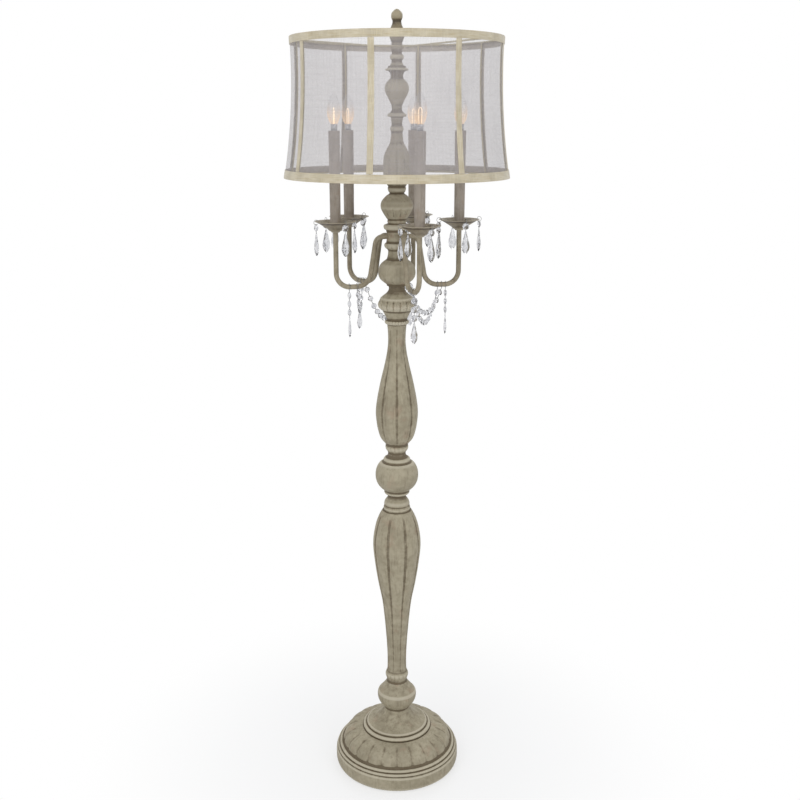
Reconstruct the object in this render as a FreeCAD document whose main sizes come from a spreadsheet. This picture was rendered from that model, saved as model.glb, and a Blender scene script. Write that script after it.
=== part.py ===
# A candlestick floor lamp: a weighted round base, a stacked column of turned and fluted castings on
# one threaded pipe, five curved arms with drip dishes and candle lights, crystal drops and garlands,
# and a sheer drum shade held under a finial.  Millimetres, +Z up, origin at the middle of the floor face.
import FreeCAD, Part
import math
import os
from FreeCAD import Vector, Rotation, Placement

doc = FreeCAD.newDocument("candlestick_floor_lamp")
sheet = doc.addObject("Spreadsheet::Sheet", "sizes")
names = []


def cell(alias, value):
    """Write one driving size into the sheet, under its alias."""
    names.append(alias)
    sheet.set("A%d" % len(names), alias.replace("_", " "))
    sheet.set("B%d" % len(names), str(value))
    sheet.setAlias("B%d" % len(names), alias)


def size(alias):
    return float(sheet.get(alias))


DRIVING = {
    # fits
    "fit_gap": 0.3,               # between pieces that sit side by side
    "turned_sides": 14, "base_sides": 24,   # flats round a plain turned piece
    # base
    "pad_thick": 2, "pad_radius": 126,
    "base_cavity_radius": 116, "base_cavity_top": 46,
    "weight_thick": 28, "washer_radius": 14, "washer_thick": 2, "nut_radius": 11, "nut_thick": 8,
    "cord_hole_radius": 5, "cord_hole_height": 16, "bushing_lip": 2.5, "bushing_flange": 2,
    # pipe
    "pipe_radius": 5, "pipe_tail": 3, "stud_radius": 3, "stud_length": 22,
    # arms
    "arm_reach": 124, "arm_radius": 5, "arm_sides": 6, "arm_root": 14, "arm_height_on_hub": 27,
    "arm_drop": 97, "arm_elbow": 42, "arm_slant": 16, "arm_bend": 28, "arm_crook": 16, "arm_rise": 108,
    "azimuth_a": -74, "azimuth_b": -128, "azimuth_c": 164, "azimuth_d": 20, "azimuth_e": 95,
    # dishes
    "dish_sides": 10, "dish_radius": 40.4, "dish_depth": 21.6, "dish_foot": 8, "dish_wall": 1.4,
    "rim_hole_length": 2.8, "rim_hole_width": 2.6, "rim_edge": 1.4,
    # candles
    "sleeve_radius": 10.2, "sleeve_top_radius": 10.8, "sleeve_wall": 1.1, "sleeve_length": 187,
    "socket_radius": 8.4, "socket_wall": 1.2, "socket_depth": 26, "socket_stem": 4,
    "cap_radius": 6.4, "cap_length": 38, "bulb_radius": 12.5, "bulb_length": 57, "bulb_neck": 7,
    # shade
    "shade_top": 1549.5, "shade_bottom": 1290.5, "shade_top_radius": 202, "shade_waist_radius": 203.5,
    "shade_waist_height": 1420, "shade_bottom_radius": 218.5, "fabric_thick": 0.7, "shade_sides": 30,
    "trim_thick": 1, "top_trim_width": 14, "bottom_trim_width": 16, "tape_width": 12, "rib_count": 8,
    "rib_azimuth": -12.8, "wire_radius": 1.8, "spider_radius": 11, "spider_thick": 2.9, "finial_gap": 0.1,
    # crystals
    "ring_radius": 5.2, "ring_wire": 0.9, "bead_width": 14, "bead_thick": 6,
    "drop_length": 44, "drop_width": 17, "pin_radius": 0.6, "garland_bead": 12,
    "garland_sag_de": 62, "garland_sag_ec": 58, "garland_sag_cb": 74, "garland_sag_ba": 48,
    "pendant_length": 40, "hook_reach": 98, "hook_spacing": 8, "hook_clearance": 2.2,
}
for alias, value in DRIVING.items():
    cell(alias, value)

# Turned pieces, from the base up: each station is (name, radius, height above the piece's own seat).
COLUMN = {
    "base_casting": [("foot", 129, 0), ("heel", 135, 6), ("wall", 136.3, 20), ("lip", 134.6, 31.5),
                     ("step", 132.5, 34), ("bead", 133.3, 37), ("groove", 128, 41), ("ring", 127, 45),
                     ("ledge", 120, 47), ("inner_bead_foot", 73, 82), ("inner_bead", 74.2, 85),
                     ("inner_bead_top", 68, 90), ("saucer_rim", 66, 93.5), ("saucer", 58, 98),
                     ("cavetto", 40, 108), ("flare", 30, 121), ("seat", 27, 130)],
    "foot_knop": [("foot", 27, 0), ("collar", 33.5, 8), ("swell", 41, 22), ("belly", 42.6, 34),
                  ("crown", 39, 46), ("shoulder", 33.8, 53), ("top", 22.4, 64)],
    "lower_baluster": [("foot", 22.6, 0), ("foot_rim", 24.8, 16), ("waist_foot", 21.4, 26),
                       ("waist", 20.6, 58), ("stem", 24, 120), ("calf", 31.4, 193), ("thigh", 40.4, 240),
                       ("swell", 47.4, 287), ("belly", 50.8, 324), ("crown", 48, 356),
                       ("shoulder", 42.6, 379), ("top", 30, 405)],
    "collar_ring": [("foot", 27.6, 0), ("cove", 26.8, 13), ("top", 19, 31)],
    "middle_ball": [("foot", 19, 0), ("under", 25, 7), ("flare", 32, 18), ("swell", 41.5, 30),
                    ("belly", 44.9, 47), ("crown", 41, 64), ("shoulder", 32.5, 74), ("ring_foot", 27.6, 79),
                    ("ring", 26.6, 84), ("top", 18.4, 96)],
    "upper_baluster": [("foot", 18.4, 0), ("foot_rim", 23.8, 14), ("flare", 32.5, 30), ("swell", 39, 48),
                       ("hip", 42.8, 70), ("belly", 44.1, 86), ("crown", 41.6, 113), ("taper", 33.4, 155),
                       ("slope", 24.4, 193), ("neck_foot", 19, 222), ("neck", 18, 236), ("top", 19.8, 273)],
    "leaf_capital": [("bead_foot", 22.5, 0), ("bead", 24.8, 4), ("bead_top", 20.4, 8), ("cup", 24.2, 18),
                     ("leaf_foot", 29.3, 28), ("leaf_belly", 38.2, 40), ("leaf_tip", 34, 50),
                     ("leaf_top", 28.4, 57), ("neck_foot", 20, 64), ("neck", 16, 71), ("top", 17.5, 78)],
    "hub_ball": [("foot", 20, 0), ("under", 25, 6), ("swell", 33.5, 13), ("belly", 37.4, 27),
                 ("crown", 33, 42), ("shoulder", 23, 51), ("neck", 18, 61), ("top", 17.5, 71)],
    "arm_hub": [("foot", 18, 0), ("flange_foot", 23.4, 6), ("flange", 24.8, 11), ("barrel_foot", 20.8, 15),
                ("barrel", 20.8, 39), ("collar", 26.2, 44), ("collar_top", 25, 48), ("top", 18, 53)],
    "upper_knop": [("foot", 17.7, 0), ("flare", 23, 14), ("swell", 29.5, 24), ("belly", 32, 33),
                   ("crown", 27.5, 46), ("shoulder", 19.4, 54), ("top", 13.6, 59)],
    "bell_column": [("foot", 15, 0), ("foot_rim", 18, 10), ("flare", 23.5, 22), ("bell", 26.8, 42),
                    ("crown", 25.6, 67), ("shoulder", 18, 86), ("neck_foot", 12.4, 98), ("neck", 11, 116),
                    ("ring", 12.9, 121), ("stem", 10.2, 129), ("top", 12.6, 143)],
    "top_knob": [("foot", 16.6, 0), ("ring", 18.4, 3), ("cove", 9.8, 12), ("stem", 10.2, 21),
                 ("flare", 17.2, 36), ("belly", 23.1, 52), ("crown", 16.2, 67), ("neck", 12, 72),
                 ("cup", 14.2, 82), ("disc", 22.2, 86), ("top", 16.2, 93)],
    "top_spindle": [("foot", 13, 0), ("cove", 10.1, 9), ("ring", 13.3, 16), ("neck", 9.4, 24),
                    ("top", 13, 34)],
}
# Carved pieces: lobes round the piece, how deep the groove between two lobes is, as a share of the radius,
# and where the first groove is, in degrees round from the right.
CARVED = {
    "lower_baluster": (8, 0.07, 0), "upper_baluster": (8, 0.07, 22.5), "bell_column": (10, 0.05, 0),
    "leaf_capital": (16, 0.08, 0),
}
for piece, stations in COLUMN.items():
    for station, radius, height in stations:
        cell("%s_%s_radius" % (piece, station), radius)
        cell("%s_%s_height" % (piece, station), height)
for piece, (lobes, depth, turn) in CARVED.items():
    cell(piece + "_lobes", lobes)
    cell(piece + "_groove", depth)
    cell(piece + "_turn", turn)
cell("base_lobes", 22)
cell("base_lobe_depth", 0.022)
FINIAL = [("foot", 9.4, 0), ("cup", 14, 14), ("cup_top", 14, 21), ("cove", 13, 29), ("waist", 9.8, 36),
          ("neck", 8.4, 44), ("knob", 10.9, 54), ("knob_top", 8, 60), ("tip", 2.4, 65)]
for station, radius, height in FINIAL:
    cell("finial_%s_radius" % station, radius)
    cell("finial_%s_height" % station, height)
doc.recompute()

ARMS = "abcde"
nodes = {}


def keep(label, thing):
    """Give a finished sub-part its own label, under which it is written out."""
    thing.Label = label
    nodes[label] = thing
    return thing


def shape_of(label, shape, placement=None):
    """A plain shape object, for forms that are set out point by point."""
    thing = doc.addObject("Part::Feature", label)
    thing.Shape = shape
    if placement is not None:
        thing.Placement = placement
    return thing


def round_section(radius, height, sides, start=0.0):
    """The corners of one flat-sided round section."""
    return [Vector(radius * math.cos(start + 2 * math.pi * number / sides),
                   radius * math.sin(start + 2 * math.pi * number / sides), height)
            for number in range(sides)]


def face_of(points):
    return Part.Face(Part.makePolygon(points + [points[0]]))


def ruled(sections):
    """A closed solid through sections that have as many corners each: flat sides, and flat ends."""
    faces = [face_of(sections[0][::-1]), face_of(sections[-1])]
    for lower, upper in zip(sections, sections[1:]):
        for corner in range(len(lower)):
            after = (corner + 1) % len(lower)
            first, second, third, fourth = lower[corner], lower[after], upper[after], upper[corner]
            out_of_flat = (second - first).cross(third - first).normalize().dot(fourth - first)
            if abs(out_of_flat) < 1e-7:
                faces.append(face_of([first, second, third, fourth]))
            else:
                faces.append(face_of([first, second, third]))
                faces.append(face_of([first, third, fourth]))
    shell = Part.makeShell(faces)
    shell.sewShape()
    solid = Part.makeSolid(shell)
    if solid.Volume < 0:
        solid.reverse()
    return solid


BROAD = ((0.0, 1.0), (0.18, 0.0), (0.82, 0.0))      # a flat panel with a narrow groove beside it
NARROW = ((0.0, 1.0), (0.5, 0.0))                   # a ridge and a valley


def lobed_section(radius, height, lobes, depth, turn=0.0):
    """The corners of a section of lobes; few lobes are broad panels, and many are narrow ridges."""
    points = []
    step = 2 * math.pi / lobes
    for lobe in range(lobes):
        for share, fall in BROAD if lobes <= 12 else NARROW:
            part = 1.0 - depth * fall
            angle = (lobe + share) * step + math.radians(turn)
            points.append(Vector(radius * part * math.cos(angle), radius * part * math.sin(angle), height))
    return points


def prism(name, sides, radius, height, base="0"):
    solid = doc.addObject("Part::Prism", name)
    solid.setExpression("Polygon", sides)
    solid.setExpression("Circumradius", radius)
    solid.setExpression("Height", height)
    solid.setExpression("Placement.Base.z", base)
    return solid


def cut(name, base, tool):
    result = doc.addObject("Part::Cut", name)
    result.Base = base
    result.Tool = tool
    return result


def fuse(name, parts):
    result = doc.addObject("Part::MultiFuse", name)
    result.Shapes = parts
    return result


BORE = "(sizes.pipe_radius + sizes.fit_gap) / cos(22.5)"


def turned(piece, stations):
    """A lathe-turned or carved casting: sections at its stations, with the pipe's bore through it."""
    sections = []
    for station, _, _ in stations:
        radius = size("%s_%s_radius" % (piece, station))
        height = size("%s_%s_height" % (piece, station))
        if piece in CARVED:
            sections.append(lobed_section(radius, height, int(size(piece + "_lobes")), size(piece + "_groove"),
                                          size(piece + "_turn")))
        else:
            sections.append(round_section(radius, height, int(size("turned_sides"))))
    body = shape_of(piece + "_body", ruled(sections))
    hole = prism(piece + "_bore", "8", BORE, "sizes.%s_%s_height + 4" % (piece, stations[-1][0]), "-2")
    return cut(piece + "_bored", body, hole)


# --- the column, stacked from the base up ---
seat = "sizes.pad_thick"
seats = {}
for piece, stations in COLUMN.items():
    seats[piece] = seat
    if piece != "base_casting" and piece != "arm_hub":
        blank = turned(piece, stations)
        blank.setExpression("Placement.Base.z", seat)
        keep(piece, blank)
    seat = "%s + sizes.%s_%s_height" % (seat, piece, stations[-1][0])
spindle_top = seat


def height_of(expression):
    """The value of a seat's sum, for shapes that are set out in this file's own code."""
    total = 0.0
    for term in expression.split("+"):
        term = term.strip()
        total += size(term[6:]) if term.startswith("sizes.") else float(term)
    return total


# --- base casting: a hollow weighted foot with a gadrooned dome ---
outside = shape_of("base_body", ruled([
    round_section(size("base_casting_%s_radius" % station), size("base_casting_%s_height" % station),
                  int(size("base_sides"))) for station, _, _ in COLUMN["base_casting"]]))
DOME = ((1.0, 0.0), (0.97, 0.38), (0.86, 0.76), (0.62, 1.0))
ledge_radius = size("base_casting_ledge_radius")
ledge_height = size("base_casting_ledge_height")
dome_rise = size("base_casting_inner_bead_foot_height") - ledge_height
gadroons = shape_of("base_gadroons", ruled([
    lobed_section(ledge_radius * share, ledge_height + dome_rise * rise, int(size("base_lobes")),
                  size("base_lobe_depth")) for share, rise in DOME]))
cavity = prism("base_cavity", "32", "sizes.base_cavity_radius",
               "sizes.base_cavity_top - sizes.pad_thick + 5", "-5")
pipe_hole = prism("base_pipe_hole", "8", BORE, "200", "-5")
cord_hole = prism("base_cord_hole", "12", "sizes.cord_hole_radius", "60")
cord_hole.setExpression("Placement.Base.y", "sizes.base_cavity_radius - 20")
cord_hole.setExpression("Placement.Base.z", "sizes.cord_hole_height - sizes.pad_thick")
cord_hole.Placement.Rotation = Rotation(Vector(1, 0, 0), -90)
base = cut("base_bored", fuse("base_outside", [outside, gadroons]),
           fuse("base_holes", [cavity, pipe_hole, cord_hole]))
base.setExpression("Placement.Base.z", "sizes.pad_thick")
keep("base_casting", base)
keep("base_pad", prism("base_pad_disc", "32", "sizes.pad_radius", "sizes.pad_thick"))
weight = cut("weight_bored", prism("weight_disc", "32", "sizes.base_cavity_radius - 2 * sizes.fit_gap",
                                   "sizes.weight_thick"),
             prism("weight_hole", "8", BORE, "sizes.weight_thick + 4", "-2"))
weight.setExpression("Placement.Base.z", "sizes.base_cavity_top - sizes.weight_thick")
keep("base_weight", weight)
washer = cut("washer_bored", prism("washer_disc", "16", "sizes.washer_radius", "sizes.washer_thick"),
             prism("washer_hole", "8", BORE, "sizes.washer_thick + 4", "-2"))
washer.setExpression("Placement.Base.z", "sizes.base_cavity_top - sizes.weight_thick - sizes.washer_thick")
nut = cut("nut_bored", prism("nut_body", "6", "sizes.nut_radius", "sizes.nut_thick"),
          prism("nut_hole", "8", BORE, "sizes.nut_thick + 4", "-2"))
nut.setExpression("Placement.Base.z", "sizes.base_cavity_top - sizes.weight_thick - sizes.washer_thick"
                  " - sizes.nut_thick")
fixings = doc.addObject("Part::Compound", "fixings")
fixings.Links = [washer, nut]
keep("base_fixings", fixings)

# --- the cord's bushing, in the back of the base ---
bushing_outer = "(sizes.cord_hole_radius - sizes.fit_gap)"
bushing = cut("bushing_bored",
              fuse("bushing_body", [
                  prism("bushing_neck", "12", bushing_outer,
                        "sizes.base_casting_wall_radius - sizes.base_cavity_radius + sizes.bushing_flange"),
                  prism("bushing_collar", "12", "sizes.cord_hole_radius + sizes.bushing_lip",
                        "sizes.bushing_flange",
                        "sizes.base_casting_wall_radius - sizes.base_cavity_radius + sizes.fit_gap")]),
              prism("bushing_hole", "12", "sizes.cord_hole_radius - 2", "60", "-10"))
bushing.setExpression("Placement.Base.y", "sizes.base_cavity_radius")
bushing.setExpression("Placement.Base.z", "sizes.cord_hole_height")
bushing.Placement.Rotation = Rotation(Vector(1, 0, 0), -90)
keep("cord_bushing", bushing)

# --- the pipe that clamps the stack, with the finial's stud on top ---
pipe = prism("pipe_rod", "12", "sizes.pipe_radius", spindle_top + " - sizes.pipe_tail", "sizes.pipe_tail")
stud = prism("pipe_stud", "12", "sizes.stud_radius", "sizes.stud_length + 2", spindle_top + " - 2")
keep("lamp_pipe", fuse("pipe", [pipe, stud]))

# --- the hub, with a socket for each arm's root ---
arm_height = height_of(seats["arm_hub"]) + size("arm_height_on_hub")
hub_sockets = []
for arm in ARMS:
    socket = prism("hub_socket_" + arm, "sizes.arm_sides",
                   "(sizes.arm_radius + sizes.fit_gap) / cos(180 / sizes.arm_sides)",
                   "sizes.arm_reach - sizes.arm_root")
    azimuth = math.radians(size("azimuth_" + arm))
    outward = Vector(math.sin(azimuth), -math.cos(azimuth), 0)
    start = size("arm_root") - size("fit_gap")
    socket.Placement = Placement(outward * start + Vector(0, 0, size("arm_height_on_hub")),
                                 Rotation(Vector(0, 0, 1), outward).multiply(
                                     Rotation(Vector(0, 0, 1), size("azimuth_" + arm) - 90
                                              + 180.0 / size("arm_sides"))))
    socket.setExpression("Placement.Base.z", "sizes.arm_height_on_hub")
    hub_sockets.append(socket)
hub = cut("hub_socketed", turned("arm_hub", COLUMN["arm_hub"]), fuse("hub_sockets", hub_sockets))
hub.setExpression("Placement.Base.z", seats["arm_hub"])
keep("arm_hub", hub)


# --- arms: a tube that leaves the hub, dips, and rises to its dish ---
def rounded_path(corners, radii, step_angle=28.0):
    """Points along straight runs joined by tangent arcs, with the arc at each inner corner."""
    points = [corners[0]]
    for before, corner, after, radius in zip(corners, corners[1:], corners[2:], radii):
        back = (before - corner).normalize()
        ahead = (after - corner).normalize()
        half = back.getAngle(ahead) / 2
        reach = radius / math.tan(half)
        middle = corner + (back + ahead).normalize() * (radius / math.sin(half))
        first = corner + back * reach - middle
        last = corner + ahead * reach - middle
        sweep = first.getAngle(last)
        axis = first.cross(last)
        count = max(2, int(math.ceil(math.degrees(sweep) / step_angle)))
        for number in range(count + 1):
            turn = Rotation(axis, math.degrees(sweep) * number / count)
            points.append(middle + turn.multVec(first))
    points.append(corners[-1])
    return points


def tube(points, radius, sides):
    """A flat-sided tube along points that lie in the XZ plane."""
    sections = []
    for number, point in enumerate(points):
        before = points[max(0, number - 1)]
        after = points[min(len(points) - 1, number + 1)]
        along = (after - before).normalize()
        normal = Vector(0, 1, 0)
        side = normal.cross(along)
        ring = []
        for corner in range(sides):
            angle = 2 * math.pi * (corner + 0.5) / sides
            ring.append(point + side * (radius * math.cos(angle)) + normal * (radius * math.sin(angle)))
        sections.append(ring)
    return ruled(sections)


def around(shape, arm, place=Vector(0, 0, 0)):
    """A shape that is set out towards +X, moved and turned to an arm's azimuth (0 is the front)."""
    copy = shape.copy()
    copy.translate(place)
    copy.rotate(Vector(0, 0, 0), Vector(0, 0, 1), size("azimuth_" + arm) - 90)
    return copy


reach = size("arm_reach")
low = arm_height - size("arm_drop")
arm_top = low + size("arm_rise")
arm_path = rounded_path([Vector(size("arm_root"), 0, arm_height), Vector(size("arm_elbow"), 0, arm_height),
                         Vector(size("arm_elbow") + size("arm_slant"), 0, low), Vector(reach, 0, low),
                         Vector(reach, 0, arm_top)],
                        [size("arm_crook"), size("arm_bend"), size("arm_bend")])
arm_tube = tube(arm_path, size("arm_radius"), int(size("arm_sides")))
keep("arms", shape_of("arm_tubes", Part.makeCompound([around(arm_tube, arm) for arm in ARMS])))


# --- drip dishes, candle sleeves and sockets ---
def frustums(stations, sides, start=0.0):
    """A flat-sided turned solid through (radius, height) stations, in this file's own code."""
    return ruled([round_section(radius, height, sides, start) for radius, height in stations])


dish_sides = int(size("dish_sides"))
dish_radius = size("dish_radius")
dish_depth = size("dish_depth")
wall = size("dish_wall")
foot = size("dish_foot")
dish_outside = frustums([(foot, 0), (foot + 4, 3.5), (dish_radius * 0.60, dish_depth * 0.56),
                         (dish_radius, dish_depth - wall * 0.6), (dish_radius, dish_depth)], dish_sides)
dish_floor = 3 + wall
dish_inside = frustums([(size("sleeve_radius") + 2, dish_floor),
                        (dish_radius * 0.60, dish_depth * 0.56 + wall * 1.25),
                        (dish_radius + 8, dish_depth + 8 * dish_depth * 0.44 / (dish_radius * 0.40)
                         + wall * 1.25)], dish_sides)
dish = dish_outside.cut(dish_inside)
hole_middle = dish_radius - size("rim_edge") - size("rim_hole_length") / 2
DROP_TURNS = {"a": (-60, 30, 120, 210), "b": (-45, 45, 135, 225), "c": (-45, 45, 135, 225),
              "d": (-60, 30, 120, 210), "e": (-75, 15, 105, 195)}


def rim_direction(arm, turn):
    azimuth = math.radians(turn)
    return Vector(math.sin(azimuth), -math.cos(azimuth), 0)


def dish_centre(arm, height):
    azimuth = math.radians(size("azimuth_" + arm))
    return Vector(reach * math.sin(azimuth), -reach * math.cos(azimuth), height)


def dish_of(arm):
    holes = []
    for turn in DROP_TURNS[arm]:
        hole = Part.makeBox(size("rim_hole_length"), size("rim_hole_width"), 20,
                            Vector(hole_middle - size("rim_hole_length") / 2, -size("rim_hole_width") / 2,
                                   dish_depth - 12))
        hole.rotate(Vector(0, 0, 0), Vector(0, 0, 1), turn - 90)
        holes.append(hole)
    result = dish.cut(Part.makeCompound(holes))
    result.translate(dish_centre(arm, arm_top))
    return result


keep("drip_dishes", shape_of("dishes", Part.makeCompound([dish_of(arm) for arm in ARMS])))
sleeve_foot = arm_top + dish_floor
sleeve_length = size("sleeve_length")
sleeve_radius = size("sleeve_radius")
sleeve_top_radius = size("sleeve_top_radius")
thin = size("sleeve_wall")
sleeve = frustums([(sleeve_radius, 0), (sleeve_top_radius, sleeve_length)], 10).cut(
    frustums([(sleeve_radius - thin, -1), (sleeve_top_radius - thin, sleeve_length + 1)], 10))
keep("candle_sleeves", shape_of("sleeves", Part.makeCompound(
    [sleeve.translated(dish_centre(arm, sleeve_foot)) for arm in ARMS])))
socket_foot = sleeve_length - size("socket_depth") - 8
socket_solid = frustums([(size("socket_stem"), 0), (size("socket_stem"), socket_foot),
                         (size("socket_radius"), socket_foot + 4), (size("socket_radius"), sleeve_length)],
                        8).cut(
    frustums([(size("socket_radius") - size("socket_wall"), sleeve_length - size("socket_depth")),
              (size("socket_radius") - size("socket_wall"), sleeve_length + 1)], 8))
keep("sockets", shape_of("socket_posts", Part.makeCompound(
    [socket_solid.translated(dish_centre(arm, sleeve_foot)) for arm in ARMS])))

# --- bulbs: a screw cap that turns in its socket, and a flame-tipped glass ---
cap_radius = size("cap_radius")
cap_length = size("cap_length")
glass = size("bulb_length")
full = size("bulb_radius")
cap = frustums([(3, 0), (cap_radius, 4), (cap_radius, cap_length)], 8)
envelope = frustums([(size("bulb_neck"), 0), (full * 0.86, glass * 0.16), (full, glass * 0.36),
                     (full * 0.80, glass * 0.60), (full * 0.42, glass * 0.82), (1.2, glass)], 8)
envelope.translate(Vector(0, 0, cap_length))
cap_foot = sleeve_foot + sleeve_length - size("socket_depth") + size("fit_gap")
for arm in ARMS:
    bulb = Part.makeCompound([cap, envelope])
    keep("bulb_" + arm, shape_of("bulb_shape_" + arm, bulb,
                                 Placement(dish_centre(arm, cap_foot), Rotation())))


# --- crystals ---
def stone(sections, sides, square_on):
    """A cut stone: flat-sided sections (width, thickness, place) along the axis square_on."""
    corners = []
    for width, thick, place in sections:
        ring = []
        for number in range(sides):
            angle = 2 * math.pi * (number + 0.5) / sides
            across = width / 2 * math.cos(angle)
            through = thick / 2 * math.sin(angle)
            if square_on == "z":
                ring.append(Vector(through, across, place))
            else:
                ring.append(Vector(place, across, through))
        corners.append(ring)
    return ruled(corners)


def bead(width, thick, sides=6):
    """A six-sided bead that faces +X, its middle at the origin."""
    return stone([(width * 0.5, width * 0.5, -thick / 2), (width, width, 0),
                  (width * 0.5, width * 0.5, thick / 2)], sides, "x")


def hex_ring(radius, wire):
    """A small wire ring in the XZ plane, round the origin, with a flat side inwards."""
    outer = []
    inner = []
    for number in range(6):
        angle = math.radians(60 * number + 30)
        direction = Vector(math.cos(angle), 0, math.sin(angle))
        outer.append(direction * radius)
        inner.append(direction * (radius - wire))
    ring = Part.Face(Part.makePolygon(outer + [outer[0]])).extrude(Vector(0, wire, 0)).cut(
        Part.Face(Part.makePolygon(inner + [inner[0]])).extrude(Vector(0, wire, 0)))
    ring.translate(Vector(0, -wire / 2, 0))
    return ring


def pin(radius, start, end):
    """A thin square pin between two points."""
    along = end - start
    rod = Part.makeBox(2 * radius, 2 * radius, along.Length, Vector(-radius, -radius, 0))
    rod.Placement = Placement(start, Rotation(Vector(0, 0, 1), along))
    return rod


def pendalogue(length, width):
    """A flat teardrop stone, hanging from the origin."""
    flat = 0.42
    return stone([(width * share, width * share * flat, -length * place)
                  for share, place in ((0.16, 0), (0.42, 0.26), (1.0, 0.70), (0.10, 1.0))],
                 6, "z")


ring_radius = size("ring_radius")
ring_wire = size("ring_wire")
bead_width = size("bead_width")
bead_thick = size("bead_thick")
eye = ring_radius - ring_wire - 1.4
stone_gap = 3.0


def hung_bead(width, thick, top):
    """A bead whose top hole the ring above passes through."""
    body = bead(width, thick)
    body.translate(Vector(0, 0, top - width / 2))
    hole = Part.makeBox(20, ring_wire + 0.8, ring_wire + 1.2,
                        Vector(-10, -(ring_wire + 0.8) / 2, -ring_radius - 0.5))
    return body.cut(hole)


def drop_solids(chain_beads, length, width):
    """A jump ring, beads on pins, and a teardrop, all hanging below the ring's middle."""
    top = -eye
    solids = [hex_ring(ring_radius, ring_wire), hung_bead(bead_width, bead_thick, top)]
    top -= bead_width
    for _ in range(chain_beads - 1):
        solids.append(pin(size("pin_radius"), Vector(0, 0, top), Vector(0, 0, top - stone_gap)))
        top -= stone_gap
        lower = bead(bead_width, bead_thick)
        lower.translate(Vector(0, 0, top - bead_width / 2))
        solids.append(lower)
        top -= bead_width
    solids.append(pin(size("pin_radius"), Vector(0, 0, top), Vector(0, 0, top - stone_gap)))
    top -= stone_gap
    tear = pendalogue(length, width)
    tear.translate(Vector(0, 0, top))
    solids.append(tear)
    return Part.makeCompound(solids)


hang_radius = hole_middle + ring_radius * math.cos(math.radians(30)) - ring_wire / 2
hang_height = arm_top + dish_depth - wall * 0.5
drop = drop_solids(1, size("drop_length"), size("drop_width"))
for arm in ARMS:
    for number, turn in enumerate(DROP_TURNS[arm], 1):
        outward = rim_direction(arm, turn)
        place = Placement(dish_centre(arm, hang_height) + outward * hang_radius,
                          Rotation(Vector(0, 0, 1), turn - 90))
        label = "drop_%s%d" % (arm, number)
        keep(label, shape_of(label + "_shape", drop, place))

# --- pendants and garlands, hooked round the low bend of the arms ---
bend_out = size("hook_reach")
hook_radius = size("arm_radius") + size("hook_clearance")
hook_height = low


def hook(radius, wire):
    """A wire loop round the arm, in the plane across it."""
    loop = hex_ring(radius, wire)
    loop.rotate(Vector(0, 0, 0), Vector(0, 0, 1), 90)
    return loop


def pendant_solids():
    top = -hook_radius
    solids = [hook(hook_radius, ring_wire)]
    solids.append(pin(size("pin_radius"), Vector(0, 0, top), Vector(0, 0, top - stone_gap)))
    top -= stone_gap
    for _ in range(3):
        stone_bead = bead(bead_width, bead_thick)
        stone_bead.translate(Vector(0, 0, top - bead_width / 2))
        solids.append(stone_bead)
        top -= bead_width
        solids.append(pin(size("pin_radius"), Vector(0, 0, top), Vector(0, 0, top - stone_gap)))
        top -= stone_gap
    tear = pendalogue(size("pendant_length"), size("drop_width") * 0.9)
    tear.translate(Vector(0, 0, top))
    solids.append(tear)
    return Part.makeCompound(solids)


pendant = pendant_solids()
for arm in ARMS:
    azimuth = size("azimuth_" + arm)
    outward = rim_direction(arm, azimuth)
    place = Placement(outward * bend_out + Vector(0, 0, hook_height), Rotation(Vector(0, 0, 1), azimuth - 90))
    keep("pendant_" + arm, shape_of("pendant_shape_" + arm, pendant, place))


def garland_end(arm, inwards):
    """Where a garland's hook goes round an arm, one or two places in from the pendant's."""
    outward = rim_direction(arm, size("azimuth_" + arm))
    return outward * (bend_out - inwards) + Vector(0, 0, hook_height), outward


def garland_solids(left, right, spacing, sag):
    start, start_out = garland_end(left, spacing)
    end, end_out = garland_end(right, 2 * spacing)
    width = size("garland_bead")
    solids = []
    for point, outward in ((start, start_out), (end, end_out)):
        loop = hook(hook_radius, ring_wire)
        loop.Placement = Placement(point, Rotation(Vector(0, 0, 1), math.degrees(
            math.atan2(outward.y, outward.x)))).multiply(loop.Placement)
        solids.append(loop)
    first = start - Vector(0, 0, hook_radius)
    last = end - Vector(0, 0, hook_radius)
    span = last - first
    pitch = width + stone_gap
    count = int(round(math.sqrt(span.Length ** 2 + 16.0 / 3.0 * sag ** 2) / pitch))
    joints = []
    for number in range(count + 1):
        share = number / count
        joints.append(first + span * share - Vector(0, 0, 4 * sag * share * (1 - share)))
    facing = Rotation(Vector(0, 0, 1), math.degrees(math.atan2(span.x, -span.y)))
    edge = width / 2 * 0.86
    held = first
    for here, there in zip(joints, joints[1:]):
        along = (there - here).normalize()
        middle = (here + there) * 0.5
        body = bead(width, size("bead_thick"))
        body.Placement = Placement(middle, facing)
        solids.append(body)
        solids.append(pin(size("pin_radius"), held, middle - along * edge))
        held = middle + along * edge
    solids.append(pin(size("pin_radius"), held, last))
    return Part.makeCompound(solids)


GARLANDS = (("d", "e"), ("e", "c"), ("c", "b"), ("b", "a"))
for left, right in GARLANDS:
    label = "garland_%s%s" % (left, right)
    keep(label, shape_of(label + "_shape", garland_solids(
        left, right, size("hook_spacing"), size("garland_sag_" + left + right))))

# --- the shade: welded wire frame, sheer fabric, gold trims and tapes ---
top_z = size("shade_top")
bottom_z = size("shade_bottom")
shade_sides = int(size("shade_sides"))
cloth = size("fabric_thick")
trim = size("trim_thick")
gap = size("fit_gap")
wire_radius = size("wire_radius")


def shade_radius(height):
    """The outside of the fabric: a shallow parabola through the top, waist and bottom radii."""
    heights = (bottom_z, size("shade_waist_height"), top_z)
    radii = (size("shade_bottom_radius"), size("shade_waist_radius"), size("shade_top_radius"))
    total = 0.0
    for here in range(3):
        term = radii[here]
        for other in range(3):
            if other != here:
                term *= (height - heights[other]) / (heights[here] - heights[other])
        total += term
    return total


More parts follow.
